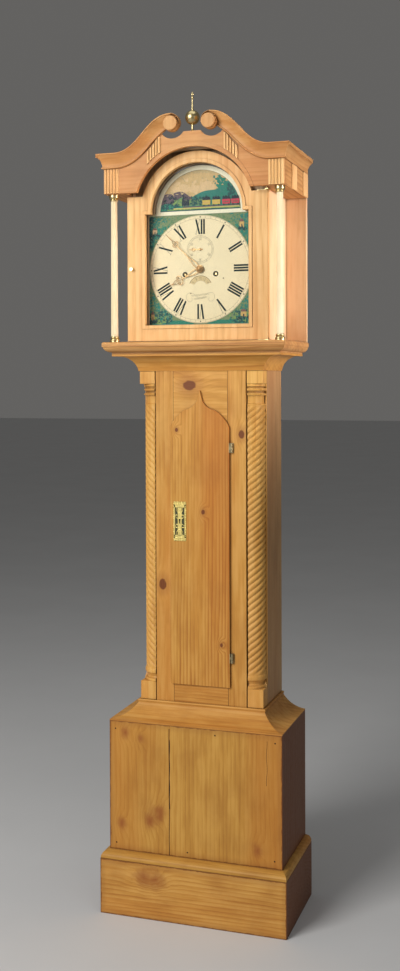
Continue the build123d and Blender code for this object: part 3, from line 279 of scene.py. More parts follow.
def metal(name, bright, dull, rough, amount=0.35, scale=35.0, metallic=1.0, bump=0.1):
    """Worn metal: tarnish in patches, fine scratches, uneven polish."""
    g = Graph(name)
    patch = g.noise(g.coords, scale, 5, 0.65)
    speck = g.noise(g.coords, scale * 14, 3, 0.7)
    tarnish = g.times(g.remap(patch, 0.38, 0.72), amount)
    colour = g.mix(tarnish, bright, dull)
    colour = g.mix(g.times(g.remap(speck, 0.55, 0.8), amount), colour, dull)
    g.base(Base_Color=colour, Roughness=g.plus(rough, g.times(patch, 0.22)), Metallic=metallic)
    g.bump(g.plus(patch, g.times(speck, 0.35)), bump, 0.0004)
    return g.material


def glass():
    """Old window glass, slightly wavy and nearly clear."""
    g = Graph("old_glass")
    smear = g.noise(g.stretch((1, 1, 0.4)), 12, 3, 0.5)
    g.base(Base_Color=g.mix(smear, (0.30, 0.36, 0.34), (0.40, 0.44, 0.42)))
    g.base(Roughness=g.plus(0.10, g.times(smear, 0.12)), Alpha=0.02, Specular_IOR_Level=0.06)
    g.bump(smear, 0.02, 0.001)
    return g.material


def finish_with(material, names):
    """Give CAD nodes, named in one string, a material in all their slots."""
    for name in names.split():
        mesh = NODES[name].data
        if not mesh.materials:
            mesh.materials.append(material)
        for i in range(len(mesh.materials)):
            mesh.materials[i] = material


# ---- wood and metal finishes
HONEY = ((0.74, 0.42, 0.12), (0.60, 0.30, 0.065), (0.36, 0.14, 0.03))
PEACH = ((0.71, 0.41, 0.16), (0.59, 0.30, 0.10), (0.36, 0.145, 0.044))
PALE = ((0.90, 0.60, 0.28), (0.82, 0.49, 0.195), (0.56, 0.27, 0.085))
DOOR = ((0.70, 0.39, 0.105), (0.58, 0.285, 0.058), (0.35, 0.13, 0.028))
OCHRE = ((0.66, 0.37, 0.09), (0.54, 0.275, 0.055), (0.33, 0.135, 0.028))
RUSSET = ((0.66, 0.43, 0.20), (0.54, 0.33, 0.14), (0.34, 0.17, 0.07))
# lighter copy of the hood pine: painted light on the hood sides and ears, where they catch the light
LIT_SIDE_PINE = ((0.94, 0.70, 0.44), (0.88, 0.61, 0.35), (0.66, 0.40, 0.19))
CORNER = ((0.84, 0.53, 0.17), (0.72, 0.40, 0.10), (0.46, 0.20, 0.045))
BLEACHED = ((0.92, 0.82, 0.58), (0.86, 0.72, 0.45), (0.62, 0.44, 0.22))
RAW = ((0.50, 0.37, 0.22), (0.40, 0.28, 0.15), (0.25, 0.16, 0.08))
BASE_HALF, BASE_FOOT, BASE_HEAD = 0.2475, 0.171, 0.5298
SKIRT_HALF, SKIRT_HEAD = 0.2654, 0.1517


def front_knots(face_depth, spots):
    """Knot centres on a front face, from x, z and radius in millimetres."""
    y = at_depth(face_depth)
    return [(x * MM, y, z * MM, radius * MM) for x, z, radius in spots]


BASE_KNOTS = front_knots(
    266, [(-200, 499, 11), (-155, 486, 9), (-100, 286, 15), (-130, 258, 13), (-212, 244, 12), (178, 215, 12)]
)
SKIRT_KNOTS = front_knots(294, [(-138, 114, 19), (-105, 112, 16)])
RAIL_KNOTS = front_knots(201, [(-31, 1462, 16)])
TRUNK_KNOTS = front_knots(201, [(-112, 905, 13), (119, 1327, 10)]) + RAIL_KNOTS
DOOR_KNOTS = front_knots(209, [(10, 1112, 6), (62, 747, 5), (-67, 1338, 5)])

# name, colours, seed, heart line, CAD nodes, and what differs from a plain upright board
WOODS = (
    ("pine_base", OCHRE, 1.3, (-0.06, 0.10), "base_boards", {
        "knots": BASE_KNOTS, "soft": True, "depth": 0.2,
        "side": BASE_HALF, "edges": (BASE_HALF, BASE_FOOT, BASE_HEAD),
    }),
    ("pine_skirt", HONEY, 2.1, (0.05, 0.09), "skirt_boards", {
        "knots": SKIRT_KNOTS, "soft": True, "grain": "X",
        "side": SKIRT_HALF, "edges": (SKIRT_HALF, 0.0, SKIRT_HEAD),
    }),
    ("pine_base_trim", OCHRE, 3.7, (0.3, 0.1), "skirt_moulding", {"grain": "X"}),
    ("pine_waist", HONEY, 3.9, (0.3, 0.1), "waist_moulding", {"grain": "X"}),
    ("pine_trunk", HONEY, 4.4, (0.02, 0.12), "trunk_face_frame", {"knots": TRUNK_KNOTS}),
    ("pine_door", DOOR, 5.2, (0.055, 0.10), "trunk_door", {
        "knots": DOOR_KNOTS, "rings": 120, "red": 0.7, "depth": 0.7,
    }),
    ("pine_sides", RUSSET, 6.1, (0.25, 0.08), "trunk_side_boards", {}),
    ("pine_throat", HONEY, 7.9, (1.6, 0.1), "throat_moulding", {"grain": "X"}),
    ("pine_corner", CORNER, 8.3, (0.2, 0.15), "quarter_columns", {"rings": 60, "depth": 0.25}),
    ("pine_hood_rails", PEACH, 9.2, (1.9, 0.1),
     "hood_base_moulding hood_frieze_board arch_moulding swan_necks", {"grain": "X"}),
    ("pine_hood", PEACH, 10.6, (0.1, 0.14), "scroll_discs", {}),
    ("pine_hood_pale", PALE, 14.6, (0.1, 0.14), "hood_door_frame hood_door_bead reeded_blocks",
     {"rings": 60, "depth": 0.28}),
    # painted light: hood side boards and ears in a lighter copy of the hood pine
    ("pine_lit_hood_sides", LIT_SIDE_PINE, 17.3, (0.1, 0.14), "hood_side_boards backboard_ears", {"rings": 60, "depth": 0.2}),
    ("bleached_columns", BLEACHED, 15.2, (0.4, 0.1), "hood_columns", {"rings": 120, "red": 0.1}),
    ("pine_hood_sides", PEACH, 11.5, (1.9, 0.1), "side_cornices frieze_side_boards", {"grain": "Y"}),
    ("raw_pine", RAW, 12.8, (0.02, 0.1), "backboard dial_mask", {"red": 0.1}),
    ("raw_boards", RAW, 13.4, (0.02, 0.1), "base_floor_board seat_board hood_roof_board", {"grain": "X"}),
)
for name, colours, seed, heart, nodes, options in WOODS:
    finish_with(wood(name, *colours, heart=heart, seed=seed, **options), nodes)

# name, bright and dull colour, roughness, tarnish, CAD nodes, and what differs from plain brass
METALS = (
    ("polished_brass", (0.70, 0.58, 0.30), (0.26, 0.20, 0.09), 0.20, 0.5,
     "column_brasses finial escutcheon_plate hood_door_fittings", {}),
    ("aged_brass", (0.66, 0.50, 0.24), (0.24, 0.16, 0.08), 0.30, 0.55,
     "movement_plates movement_pillars going_great_wheel going_barrel strike_great_wheel strike_barrel "
     "centre_wheel minute_wheel hour_wheel third_wheel escape_wheel pendulum_bob minute_hand hour_hand "
     "seconds_hand", {}),
    ("worn_steel", (0.50, 0.50, 0.52), (0.16, 0.14, 0.13), 0.28, 0.4,
     "pallet_anchor pendulum_rod bell_hammer lock_bolt", {}),
    ("black_iron", (0.10, 0.095, 0.09), (0.20, 0.10, 0.06), 0.55, 0.5,
     "door_lock_case going_weight strike_weight", {"metallic": 0.6, "bump": 0.5}),
    ("bell_metal", (0.62, 0.52, 0.33), (0.26, 0.22, 0.14), 0.25, 0.5, "bell", {}),
    ("hinge_brass", (0.50, 0.42, 0.24), (0.20, 0.18, 0.11), 0.34, 0.6,
     "case_hinges door_hinges", {"scale": 80}),
)
for name, bright, dull, rough, tarnish, nodes, options in METALS:
    finish_with(metal(name, bright, dull, rough, tarnish, **options), nodes)
finish_with(glass(), "hood_door_glass")


# ---- points and paths
def lerp(a, b, t):
    return a + (b - a) * t


def along(table, value):
    """Straight-line reading from a table of (place, value) pairs."""
    for (a, va), (b, vb) in zip(table, table[1:]):
        if value <= b:
            return lerp(va, vb, (value - a) / (b - a) if b > a else 1.0)
    return table[-1][1]


def circle(x, z, radius, start=0.0, end=360.0, steps=48):
    """Points on an arc; angles run anticlockwise from +x, in degrees."""
    angles = [math.radians(lerp(start, end, i / steps)) for i in range(steps + 1)]
    return [(x + radius * math.cos(angle), z + radius * math.sin(angle)) for angle in angles]


def dot(x, z, radius, steps=12):
    """Closed outline of a small disc."""
    return circle(x, z, radius, steps=steps)[:-1]


def bezier(points, steps=24):
    """Cubic curve through four control points."""
    out = []
    for t in [i / steps for i in range(steps + 1)]:
        weights = ((1 - t) ** 3, 3 * t * (1 - t) ** 2, 3 * t * t * (1 - t), t**3)
        out.append(tuple(sum(w * p[k] for w, p in zip(weights, points)) for k in (0, 1)))
    return out


def turned_to(centre, angle, u, v):
    """Point u sideways and v outwards from a centre, turned to a clock angle in degrees."""
    a = math.radians(angle)
    return centre[0] + u * math.cos(a) + v * math.sin(a), centre[1] - u * math.sin(a) + v * math.cos(a)


def across(path):
    """Each point of a path in x and z, with the unit vector across the path there."""
    for i, (x, z) in enumerate(path):
        before, after = path[max(i - 1, 0)], path[min(i + 1, len(path) - 1)]
        run = math.hypot(after[0] - before[0], after[1] - before[1]) or 1.0
        yield x, z, -(after[1] - before[1]) / run, (after[0] - before[0]) / run


# ---- mesh helpers
class Shape:
    """Gathers one piece. Points are (x, depth in front of the back, height) in millimetres."""

    def __init__(self):
        self.points = []
        self.faces = []
        self.slots = []

    def add(self, points, faces, slot=0):
        first = len(self.points)
        self.points += [(x * MM, at_depth(depth), z * MM) for x, depth, z in points]
        self.faces += [tuple(first + i for i in face) for face in faces]
        self.slots += [slot] * len(faces)

    def skin(self, rows, ring=False, slot=0):
        """Surface over rows that all have the same number of points."""
        width = len(rows[0])
        faces = []
        for i in range(len(rows) - 1):
            for j in range(width if ring else width - 1):
                k = (j + 1) % width
                faces.append((i * width + j, i * width + k, (i + 1) * width + k, (i + 1) * width + j))
        self.add([point for row in rows for point in row], faces, slot)

    def patch(self, outline, depth, slot=0):
        """Thin painted area with no thickness."""
        self.add([(x, depth, z) for x, z in outline], [tuple(range(len(outline)))], slot)

    def line(self, path, width, slot, depth):
        """Thin painted line along a path in x and z."""
        reach = width / 2
        rows = [
            [(x - nx * reach, depth, z - nz * reach), (x + nx * reach, depth, z + nz * reach)]
            for x, z, nx, nz in across(path)
        ]
        self.skin(rows, slot=slot)

    def ribbon(self, path, widths, back, front):
        """Flat strip along a path in x and z; its edges are eased by a raised middle."""
        crown = front + 0.25 * (front - back)
        rows = []
        for i, (x, z, nx, nz) in enumerate(across(path)):
            half = (widths[i] if isinstance(widths, list) else widths) / 2
            rows.append([
                (x - nx * half, back, z - nz * half),
                (x - nx * half, front, z - nz * half),
                (x, crown, z),
                (x + nx * half, front, z + nz * half),
                (x + nx * half, back, z + nz * half),
            ])
        self.skin(rows, ring=True)
        for row, turn in ((rows[0], 1), (rows[-1], -1)):
            self.add(row, [(0, 1, 2, 3, 4)[::turn]])

    def turn(self, profile, sides, at):
        """Turned surface; at places two offsets from the axis and a distance along it."""
        angles = [2 * math.pi * k / sides for k in range(sides)]
        rows = []
        for radius, place in profile:
            rows.append([at(radius * math.cos(a), radius * math.sin(a), place) for a in angles])
        self.skin(rows, ring=True)

    def dome(self, x, z, profile, sides=28):
        """Turned about an axis from back to front; the profile gives radius and depth."""
        self.turn(profile, sides, lambda u, v, depth: (x + u, depth, z + v))

    def post(self, x, depth, profile, sides=24):
        """Turned about an upright axis; the profile gives radius and height."""
        self.turn(profile, sides, lambda u, v, z: (x + u, depth + v, z))

    def block(self, x0, x1, d0, d1, z0, z1, ease=1.0):
        """Box with eased edges."""
        rows = []
        for z, inset in ((z0, ease), (z0 + ease, 0), (z1 - ease, 0), (z1, ease)):
            a, b, c, d = x0 + inset, x1 - inset, d0 + inset, d1 - inset
            rows.append([
                (a + ease, c, z), (b - ease, c, z), (b, c + ease, z), (b, d - ease, z),
                (b - ease, d, z), (a + ease, d, z), (a, d - ease, z), (a, c + ease, z),
            ])
        self.skin(rows, ring=True)
        self.add(rows[0], [tuple(range(8))[::-1]])
        self.add(rows[-1], [tuple(range(8))])

    def build(self, name, materials, body, slot, *stands_for, sharp=38.0):
        """Make the piece, let it ride on a body and stand for CAD nodes; sharp is in degrees."""
        mesh = bpy.data.meshes.new(name)
        mesh.from_pydata(self.points, [], self.faces)
        for material in materials if isinstance(materials, list) else [materials]:
            mesh.materials.append(material)
        for polygon, index in zip(mesh.polygons, self.slots):
            polygon.material_index = index
            polygon.use_smooth = True
        edit = bmesh.new()
        edit.from_mesh(mesh)
        bmesh.ops.recalc_face_normals(edit, faces=edit.faces)
        edit.to_mesh(mesh)
        edit.free()
        mesh.set_sharp_from_angle(angle=math.radians(sharp))
        piece = bpy.data.objects.new(name, mesh)
        bpy.context.scene.collection.objects.link(piece)
        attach(piece, body)
        if stands_for:
            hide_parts(*stands_for)
        return piece


SIDES = ((1, "right"), (-1, "left"))


# ---- rope-twist quarter columns
COLUMN_AT = (134.5, 157.5)
TWIST_LOW, TWIST_HIGH = 665.5, 1408.8
TWIST_FADE = 14.0
TWIST_ROWS = 330
STRAND, TWIST_RISE, TWIST_DEEP = 18.2, 46.0, 4.6
SHAFT_LOW, SHAFT_HIGH = 630.0, 1466.0
BLOCK_LOW, BLOCK_HIGH = 579.0, 1501.7
BLOCK_IN, BLOCK_OUT = 133.7, 178.7
BLOCK_DEPTHS = (156.7, 201.5)
SLIP_IN, SLIP_DEPTHS = 172.0, (150.5, 158.5)
TONGUE_IN, TONGUE_BACK, TONGUE_LEAN = 171.0, 158.0, 12
TONGUE_WIDE, TONGUE_TALL = 6, 26
# height and radius of the turned foot, the twisted shaft and the turned neck
COLUMN_PROFILE = [
    (630, 44), (634, 44), (637, 43.2), (637.6, 38), (643, 36), (650, 38.5), (652.5, 41), (653.2, 43.4),
    (659, 43.9), (665, 42.5), (666, 41.4), (1409, 41.4), (1412, 37.4), (1431, 37), (1433.2, 38.5),
    (1433.8, 43), (1436.6, 45.4), (1439.6, 43), (1440.2, 37.4), (1445.6, 37.4), (1446.4, 42.6),
    (1449.6, 45.4), (1452.8, 42.6), (1453.4, 38), (1457, 38.6), (1459, 43), (1466, 44),
]


def twist_radius(angle, z):
    """Column surface: convex strands that fade out into the plain neck and foot."""
    fade_in = min(1.0, max(0.0, (z - TWIST_LOW) / TWIST_FADE))
    fade_out = min(1.0, max(0.0, (TWIST_HIGH - z) / TWIST_FADE))
    turn = (z - TWIST_RISE * angle / 90.0) / STRAND
    groove = 1.0 - abs(math.sin(math.pi * turn)) ** 0.6
    return along(COLUMN_PROFILE, z) - fade_in * fade_out * TWIST_DEEP * groove


def quarter_column(shape, side):
    """Twisted quarter round between two square blocks, with a slip and tongues at its outer edge."""
    heights = [z for z, _ in COLUMN_PROFILE if z < TWIST_LOW + 1]
    heights += [lerp(TWIST_LOW + 1, TWIST_HIGH, i / TWIST_ROWS) for i in range(TWIST_ROWS + 1)]
    heights += [z for z, _ in COLUMN_PROFILE if z > TWIST_HIGH]
    rows = []
    for z in heights:
        row = []
        for angle in [90.0 * k / 30 for k in range(31)]:
            radius = twist_radius(angle, z)
            x = COLUMN_AT[0] + radius * math.sin(math.radians(angle))
            row.append((side * x, COLUMN_AT[1] + radius * math.cos(math.radians(angle)), z))
        rows.append(row)
    shape.skin(rows)
    x0, x1 = sorted((side * BLOCK_IN, side * BLOCK_OUT))
    shape.block(x0, x1, *BLOCK_DEPTHS, SHAFT_HIGH, BLOCK_HIGH)
    shape.block(x0, x1, *BLOCK_DEPTHS, BLOCK_LOW, SHAFT_LOW)
    x0, x1 = sorted((side * SLIP_IN, side * BLOCK_OUT))
    shape.block(x0, x1, *SLIP_DEPTHS, SHAFT_LOW, SHAFT_HIGH, ease=1.8)
    for z, turn in ((SHAFT_LOW, 1), (SHAFT_HIGH, -1)):
        rows = []
        for t in (0, 0.25, 0.5, 0.75, 1):
            x, depth = lerp(BLOCK_OUT, TONGUE_IN, t * t), TONGUE_BACK + TONGUE_LEAN * (1 - t)
            height = z + turn * TONGUE_TALL * t
            rows.append([(side * x, depth, height), (side * (x - TONGUE_WIDE), depth, height)])
        shape.skin(rows)


def wood_of(node):
    return NODES[node].data.materials[0]


columns = Shape()
for side, _ in SIDES:
    quarter_column(columns, side)
columns.build("rope_quarter_columns", wood_of("quarter_columns"), "case", "pine", "quarter_columns")


# ---- swan-neck cornice
NECK_UPPER = [(222, 2102), (147, 2101), (131, 2198.7), (56, 2198.7)]
NECK_LOWER = [(225, 2060.5), (150, 2060.5), (122, 2128), (75, 2156)]
NECK_STEPS, RETURN_STEPS, VOLUTE_STEPS = 60, 4, 24
FRIEZE_FRONT, CORNICE_FRONT = 265.4, 285.0
FRIEZE_SIDE, CORNICE_SIDE = 257.3, 274.6
SCROLL_AT = (54.0, 2170.5)
SCROLL = [(20.6, 265.4), (20.6, 285.6), (20.2, 286.4), (0.3, 286.4)]
# the moulding's section: how far down its face, and how far out from the frieze
COVE = [(0.0, 0.0), (0.0, 0.97), (0.02, 1.0), (0.07, 1.0), (0.085, 0.97), (0.09, 0.90), (0.13, 0.87)]
COVE += [
    (lerp(0.13, 0.86, t), 0.87 - 0.66 * math.sin(math.pi / 2 * t) ** 0.9)
    for t in [i / 14 for i in range(1, 15)]
]
COVE += [(0.87, 0.30), (0.90, 0.36), (0.94, 0.36), (0.97, 0.30), (0.98, 0.16), (1.0, 0.10), (1.0, 0.0)]


def neck_line(fraction, out):
    """One line of the moulding: the level return at the corner, the swan neck, then the volute."""
    ends = zip(NECK_UPPER, NECK_LOWER)
    controls = [(lerp(a[0], b[0], fraction), lerp(a[1], b[1], fraction)) for a, b in ends]
    start, level = controls[0]
    tip = lerp(FRIEZE_SIDE, CORNICE_SIDE, out)
    line = [(lerp(tip, start, i / RETURN_STEPS), level) for i in range(RETURN_STEPS)]
    line += bezier(controls, NECK_STEPS)
    for i in range(VOLUTE_STEPS + 1):
        angle = math.radians(92 + 125 * i / VOLUTE_STEPS)
        radius = lerp(lerp(28.2, 20.8, i / VOLUTE_STEPS), 19.0, min(1.0, fraction * 1.6))
        line.append((SCROLL_AT[0] + radius * math.cos(angle), SCROLL_AT[1] + radius * math.sin(angle)))
    return [(x, lerp(FRIEZE_FRONT, CORNICE_FRONT, out), z) for x, z in line]


def swan_neck(side):
    shape = Shape()
    lines = [neck_line(fraction, out) for fraction, out in COVE]
    shape.skin([[(side * x, depth, z) for x, depth, z in row] for row in zip(*lines)], ring=True)
    shape.dome(side * SCROLL_AT[0], SCROLL_AT[1], SCROLL, sides=48)
    return shape


for side, name in SIDES:
    stands_for = ("swan_necks",) if side > 0 else ()
    swan_neck(side).build(f"swan_neck_{name}", wood_of("swan_necks"), "hood", "pine", *stands_for)


# ---- painted dial
DIAL_FACE = 195.0
DIAL_EDGE = 151.8
DIAL_LOW, DIAL_SHOULDER = 1631.2, 1935.2
DIAL_AT = (0.0, 1783.0)
SECONDS_AT = (0.0, 1837.5)
CALENDAR_AT = (0.0, 1731.0)
ARCH_AT = (0.0, 1940.0)
LUNETTE_HALF, LUNETTE_R, LUNETTE_FOOT = 116.8, 117.0, 1945.5
BAND_R = 129.6
DISC_R, CORNER_R = 149.2, 149.3
MINUTE_TRACK = ((147.7, 148.3), (140.6, 141.1))
WIND_HOLES = ((44.5, 1769.0), (-44.5, 1769.0))


def paint(name, colour, vary=0.18, rough=0.42, scale=160.0, relief=0.25):
    """Old oil paint: uneven body colour, brush ridges and a little craquelure."""
    g = Graph(name)
    brush = g.noise(g.stretch((1, 1, 0.5)), scale, 4, 0.6)
    cells = g.tree.nodes.new("ShaderNodeTexVoronoi")
    cells.feature = "DISTANCE_TO_EDGE"
    cells.inputs["Scale"].default_value = 55.0
    g.put(g.coords, cells.inputs["Vector"])
    crack = g.remap(cells.outputs["Distance"], 0.0, 0.035, 1.0, 0.0)
    dark = tuple(channel * 0.55 for channel in colour)
    light = tuple(min(1.0, channel * 1.35 + 0.01) for channel in colour)
    tone = g.mix(g.times(g.remap(brush, 0.35, 0.7), vary), colour, dark)
    tone = g.mix(g.times(g.remap(brush, 0.55, 0.85), vary), tone, light)
    tone = g.mix(g.times(crack, 0.10), tone, (0.18, 0.10, 0.05))
    g.base(Base_Color=tone, Roughness=g.plus(rough, g.times(brush, 0.15)), Specular_IOR_Level=0.15)
    g.bump(g.minus(brush, g.times(crack, 0.8)), relief, 0.0002)
    return g.material


PALETTE = {
    "sky": (0.62, 0.45, 0.21), "haze": (0.70, 0.52, 0.28), "cloud": (0.52, 0.41, 0.21),
    "tree": (0.015, 0.22, 0.15), "deep": (0.010, 0.085, 0.085), "teal": (0.022, 0.21, 0.165),
    "hill": (0.115, 0.085, 0.105), "slope": (0.12, 0.24, 0.11), "grass": (0.20, 0.34, 0.10),
    "straw": (0.52, 0.50, 0.16), "night": (0.012, 0.03, 0.045), "red": (0.55, 0.05, 0.08),
    "yellow": (0.62, 0.46, 0.10), "pale": (0.19, 0.27, 0.13), "ochre": (0.62, 0.42, 0.14),
    "roof": (0.20, 0.11, 0.09),
}
HUES = list(PALETTE)
PAINTS = [paint(f"paint_{hue}", colour, vary=0.25) for hue, colour in PALETTE.items()]
FILM = 0.05


class Picture(Shape):
    """A small painting whose shapes are kept inside an edge given as low and high z at each x."""

    def __init__(self, edge):
        super().__init__()
        self.edge = edge
        self.depth = DIAL_FACE + FILM

    def land(self, hue, low, high, x0, x1, steps=60):
        """Broad area between two lines that give a height at each x."""
        self.depth += FILM
        rows = []
        for x in [lerp(x0, x1, i / steps) for i in range(steps + 1)]:
            bottom, top = self.edge(x)
            a = min(max(low(x), bottom), top)
            rows.append([(x, self.depth, a), (x, self.depth, min(max(high(x), a), top))])
        self.skin(rows, slot=HUES.index(hue))

    def daubs(self, hue, box, count, size, wide=1.6):
        """Loose brush marks scattered over part of the picture."""
        self.depth += FILM
        x0, x1, z0, z1 = box
        for i in range(count):
            x, z = random.uniform(x0, x1), random.uniform(z0, z1)
            reach = size * random.uniform(0.5, 1.2)
            turn = random.uniform(0, math.pi)
            blob = []
            for angle in [2 * math.pi * k / 9 for k in range(9)]:
                swell = reach * random.uniform(0.75, 1.15)
                px, pz = wide * swell * math.cos(angle), swell * math.sin(angle)
                blob.append((
                    x + px * math.cos(turn) - pz * math.sin(turn),
                    z + px * math.sin(turn) + pz * math.cos(turn),
                ))
            if all(self.edge(bx)[0] <= bz <= self.edge(bx)[1] for bx, bz in blob):
                self.patch(blob, self.depth + 0.0006 * i, HUES.index(hue))

    def form(self, hue, *outline):
        self.depth += FILM
        self.patch(outline, self.depth, HUES.index(hue))

    def form_at(self, hue, x, z, *outline):
        """A form whose outline is given from its own corner."""
        self.form(hue, *((x + dx, z + dz) for dx, dz in outline))

    def house(self, x, z, wide, tall, wall):
        self.form_at(wall, x, z, (0, 0), (wide, 0), (wide, tall), (0, tall))
        peak = tall * 1.5
        self.form_at("roof", x, z, (-1, tall), (wide + 1, tall), (wide * 0.7, peak), (wide * 0.2, peak))
        left, right, head = wide * 0.4, wide * 0.62, tall * 0.6
        self.form_at("night", x, z, (left, 0), (right, 0), (right, head), (left, head))


def wavy(level, *waves):
    """Height of a hill line: a level plus bumps given as centre, height and width."""

    def height(x):
        return level + sum(rise * math.exp(-(((x - middle) / width) ** 2)) for middle, rise, width in waves)

    return height


# a line below the lunette, where its broad areas start
FOOT = wavy(1900)


def lunette_edge(x):
    return LUNETTE_FOOT, ARCH_AT[1] + math.sqrt(max(0.0, LUNETTE_R**2 - x * x))


def paint_sky(art, half):
    art.land("sky", FOOT, wavy(2100), -half, half, 120)
    art.land("cloud", wavy(2041, (0, 6, 60)), wavy(2100), -116, 116, 90)
    art.daubs("haze", (-80, 40, 1998, 2024), 60, 5.0, 3.2)
    art.daubs("cloud", (-60, 60, 2030, 2052), 16, 4.0, 3.2)
    art.daubs("sky", (-80, 60, 2020, 2044), 40, 4.6, 3.2)


def paint_country(art, half):
    art.land("teal", FOOT, wavy(1962, (110, 78, 44), (20, 36, 60)), -30, half, 90)
    art.daubs("tree", (52, 116, 1985, 2040), 120, 3.6)
    art.daubs("teal", (40, 116, 1985, 2046), 90, 2.8)
    art.daubs("deep", (78, 116, 1975, 2020), 60, 3.0)
    art.land("hill", FOOT, wavy(1962, (-60, 38, 42), (-104, 18, 18)), -half, 14, 70)
    art.daubs("cloud", (-96, -30, 1990, 1999), 12, 1.4, 4.0)
    art.daubs("night", (-112, -40, 1966, 1988), 40, 2.2, 2.6)
    art.land("slope", FOOT, wavy(1956, (-52, 27, 30), (4, 20, 26)), -86, 60, 60)
    art.daubs("grass", (-80, -10, 1960, 1976), 46, 2.0, 2.2)
    art.daubs("deep", (-26, 22, 1960, 1984), 44, 2.6, 2.0)
    art.land("tree", FOOT, wavy(1959, (-100, 8, 20)), -half, half, 70)
    art.daubs("deep", (-112, -60, 1950, 1966), 44, 2.2, 2.0)


def paint_embankment(art, half):
    art.land("hill", wavy(1954), wavy(1957.5), -50, half, 40)
    art.land("straw", FOOT, wavy(1954.4), -78, half, 50)
    art.land("grass", FOOT, wavy(1951.2), -96, half, 50)
    art.daubs("straw", (-60, 108, 1949, 1953), 40, 0.7, 4.0)
    art.land("deep", FOOT, wavy(1948.4, (30, 1.2, 60)), -half, half, 50)
    art.daubs("teal", (-100, 100, 1946.5, 1948), 30, 0.6, 4.0)


def paint_engine(art):
    body = [(-53, 1959), (-53, 1979), (-50.5, 1981), (-50.5, 1987), (-47, 1987), (-47, 1982), (-36, 1983)]
    body += [(-36, 1978), (-32, 1976), (-31, 1959)]
    art.form("night", *body)
    art.form("hill", (-46, 1979.5), (-37, 1980.5), (-37, 1976.5), (-46, 1975.5))
    art.form("pale", (-45, 1974), (-38, 1974.6), (-38, 1973.4), (-45, 1972.8))
    for x in (-48, -41, -35):
        art.form("deep", *dot(x, 1959.4, 2.4))
        art.form("cloud", *dot(x, 1959.4, 0.9, 8))


def paint_wagon(art, x, hue):
    """Open wagon with a heaped load, on two wheels."""
    heap = [(0, 12), (22, 12), (21.5, 19), (18, 24), (14, 20), (10, 25), (6, 20.5), (2, 24), (0.5, 19)]
    art.form_at("night", x, 1959, *heap)
    art.form_at(hue, x, 1959, (0, 0.5), (22, 0.5), (23, 13.5), (-1, 13.5))
    art.form_at("ochre" if hue == "yellow" else "roof", x, 1959, (3, 5), (19, 5), (19.4, 8), (2.6, 8))
    for wheel in (x + 4, x + 18):
        art.form("night", *dot(wheel, 1958.6, 2.0, 10))


def lunette_picture():
    """Country scene: a hill, woods and a plain little goods train on an embankment."""
    art = Picture(lunette_edge)
    half = LUNETTE_HALF
    paint_sky(art, half)
    paint_country(art, half)
    paint_embankment(art, half)
    paint_engine(art)
    for x, hue in ((7.5, "yellow"), (36, "yellow"), (65, "red"), (91, "red")):
        paint_wagon(art, x, hue)
    return art


def corner_edge(upper):
    """Corner between the hour circle and the square edge of the dial."""

    def edge(x):
        reach = math.sqrt(max(0.0, CORNER_R**2 - x * x))
        return (DIAL_AT[1] + reach, DIAL_SHOULDER) if upper else (DIAL_LOW, DIAL_AT[1] - reach)

    return edge


# x, z, width and height of the cottage in each corner, and its wall
COTTAGES = {
    (1, True): (113, 1893, 13, 16, "ochre"), (-1, True): (-140, 1884, 13, 12, "haze"),
    (1, False): (116, 1648, 16, 15, "ochre"), (-1, False): (-145, 1643, 9, 17, "ochre"),
}


def corner_picture(side, upper):
    """Trees and a cottage by a meadow."""
    art = Picture(corner_edge(upper))

    def span(inner):
        return sorted((side * inner, side * DIAL_EDGE))

    low = 1835.0 if upper else 1631.0
    art.land("pale", wavy(1600), wavy(1950), *span(0.0), 120)
    art.daubs("slope", (*span(20.0), low, low + 100), 260, 2.0, 2.4)
    art.daubs("teal", (*span(84.0), low, low + 100), 130, 1.9, 2.2)
    art.daubs("pale", (*span(20.0), low + 30, low + 100), 60, 2.4, 2.8)
    if upper:
        art.daubs("teal", (*span(118.0), 1840, 1930), 150, 2.4)
        art.daubs("tree", (*span(84.0), 1845, 1904), 170, 2.1)
        art.daubs("deep", (*span(138.0), 1845, 1934), 110, 2.2)
    else:
        art.daubs("teal", (*span(84.0), 1632, 1712), 150, 2.4)
        art.land("tree", wavy(1600), wavy(1642, (side * 140, 14, 22)), *span(20.0), 80)
        art.daubs("deep", (*span(84.0), 1632, 1668), 120, 2.1)
        art.daubs("grass", (*span(84.0), 1632, 1660), 40, 2.0, 2.4)
    x, z, wide, tall, wall = COTTAGES[(side, upper)]
    art.house(x, z, wide, tall, wall)
    art.daubs("deep", (x - 8, x + wide + 8, z - 6, z + 2), 26, 1.6, 2.0)
    art.daubs("night", (x - 10, x + wide + 10, z - 8, z), 14, 1.3, 2.2)
    return art


def build_flat(shape, name, materials):
    """Build something painted on the dial."""
    shape.build(name, materials, "case", "dial_paint", sharp=180)


build_flat(lunette_picture(), "lunette_painting", PAINTS)
for side, name in SIDES:
    build_flat(corner_picture(side, True), f"corner_painting_top_{name}", PAINTS)
    build_flat(corner_picture(side, False), f"corner_painting_low_{name}", PAINTS)


# ---- dial lettering and lines
INK_DEPTH = DIAL_FACE + 0.9
THICK, HAIRLINE = 5.0, 0.9
LETTER_LOW, LETTER_HIGH = 97.0, 137.5
HOURS = ("XII", "I", "II", "III", "IIII", "V", "VI", "VII", "VIII", "IX", "X", "XI")
ADVANCE = {"I": 7.2, "V": 13.5, "X": 15.0}
# each letter's strokes: offset at the foot, offset at the head, width; then where its serifs sit
STROKES = {
    "I": (((0.0, 0.0, THICK),), ((0.0, LETTER_LOW), (0.0, LETTER_HIGH))),
    "V": (((0.6, -4.8, THICK), (0.6, 5.6, HAIRLINE)), ((-4.8, LETTER_HIGH), (5.2, LETTER_HIGH))),
    "X": (
        ((5.0, -5.0, THICK), (-5.6, 5.6, HAIRLINE)),
        [(offset, radius) for offset in (-5.0, 5.0) for radius in (LETTER_LOW, LETTER_HIGH)],
    ),
}
# slots of the lettering piece
BLACK, GREY, BROWN, STRAW = range(4)


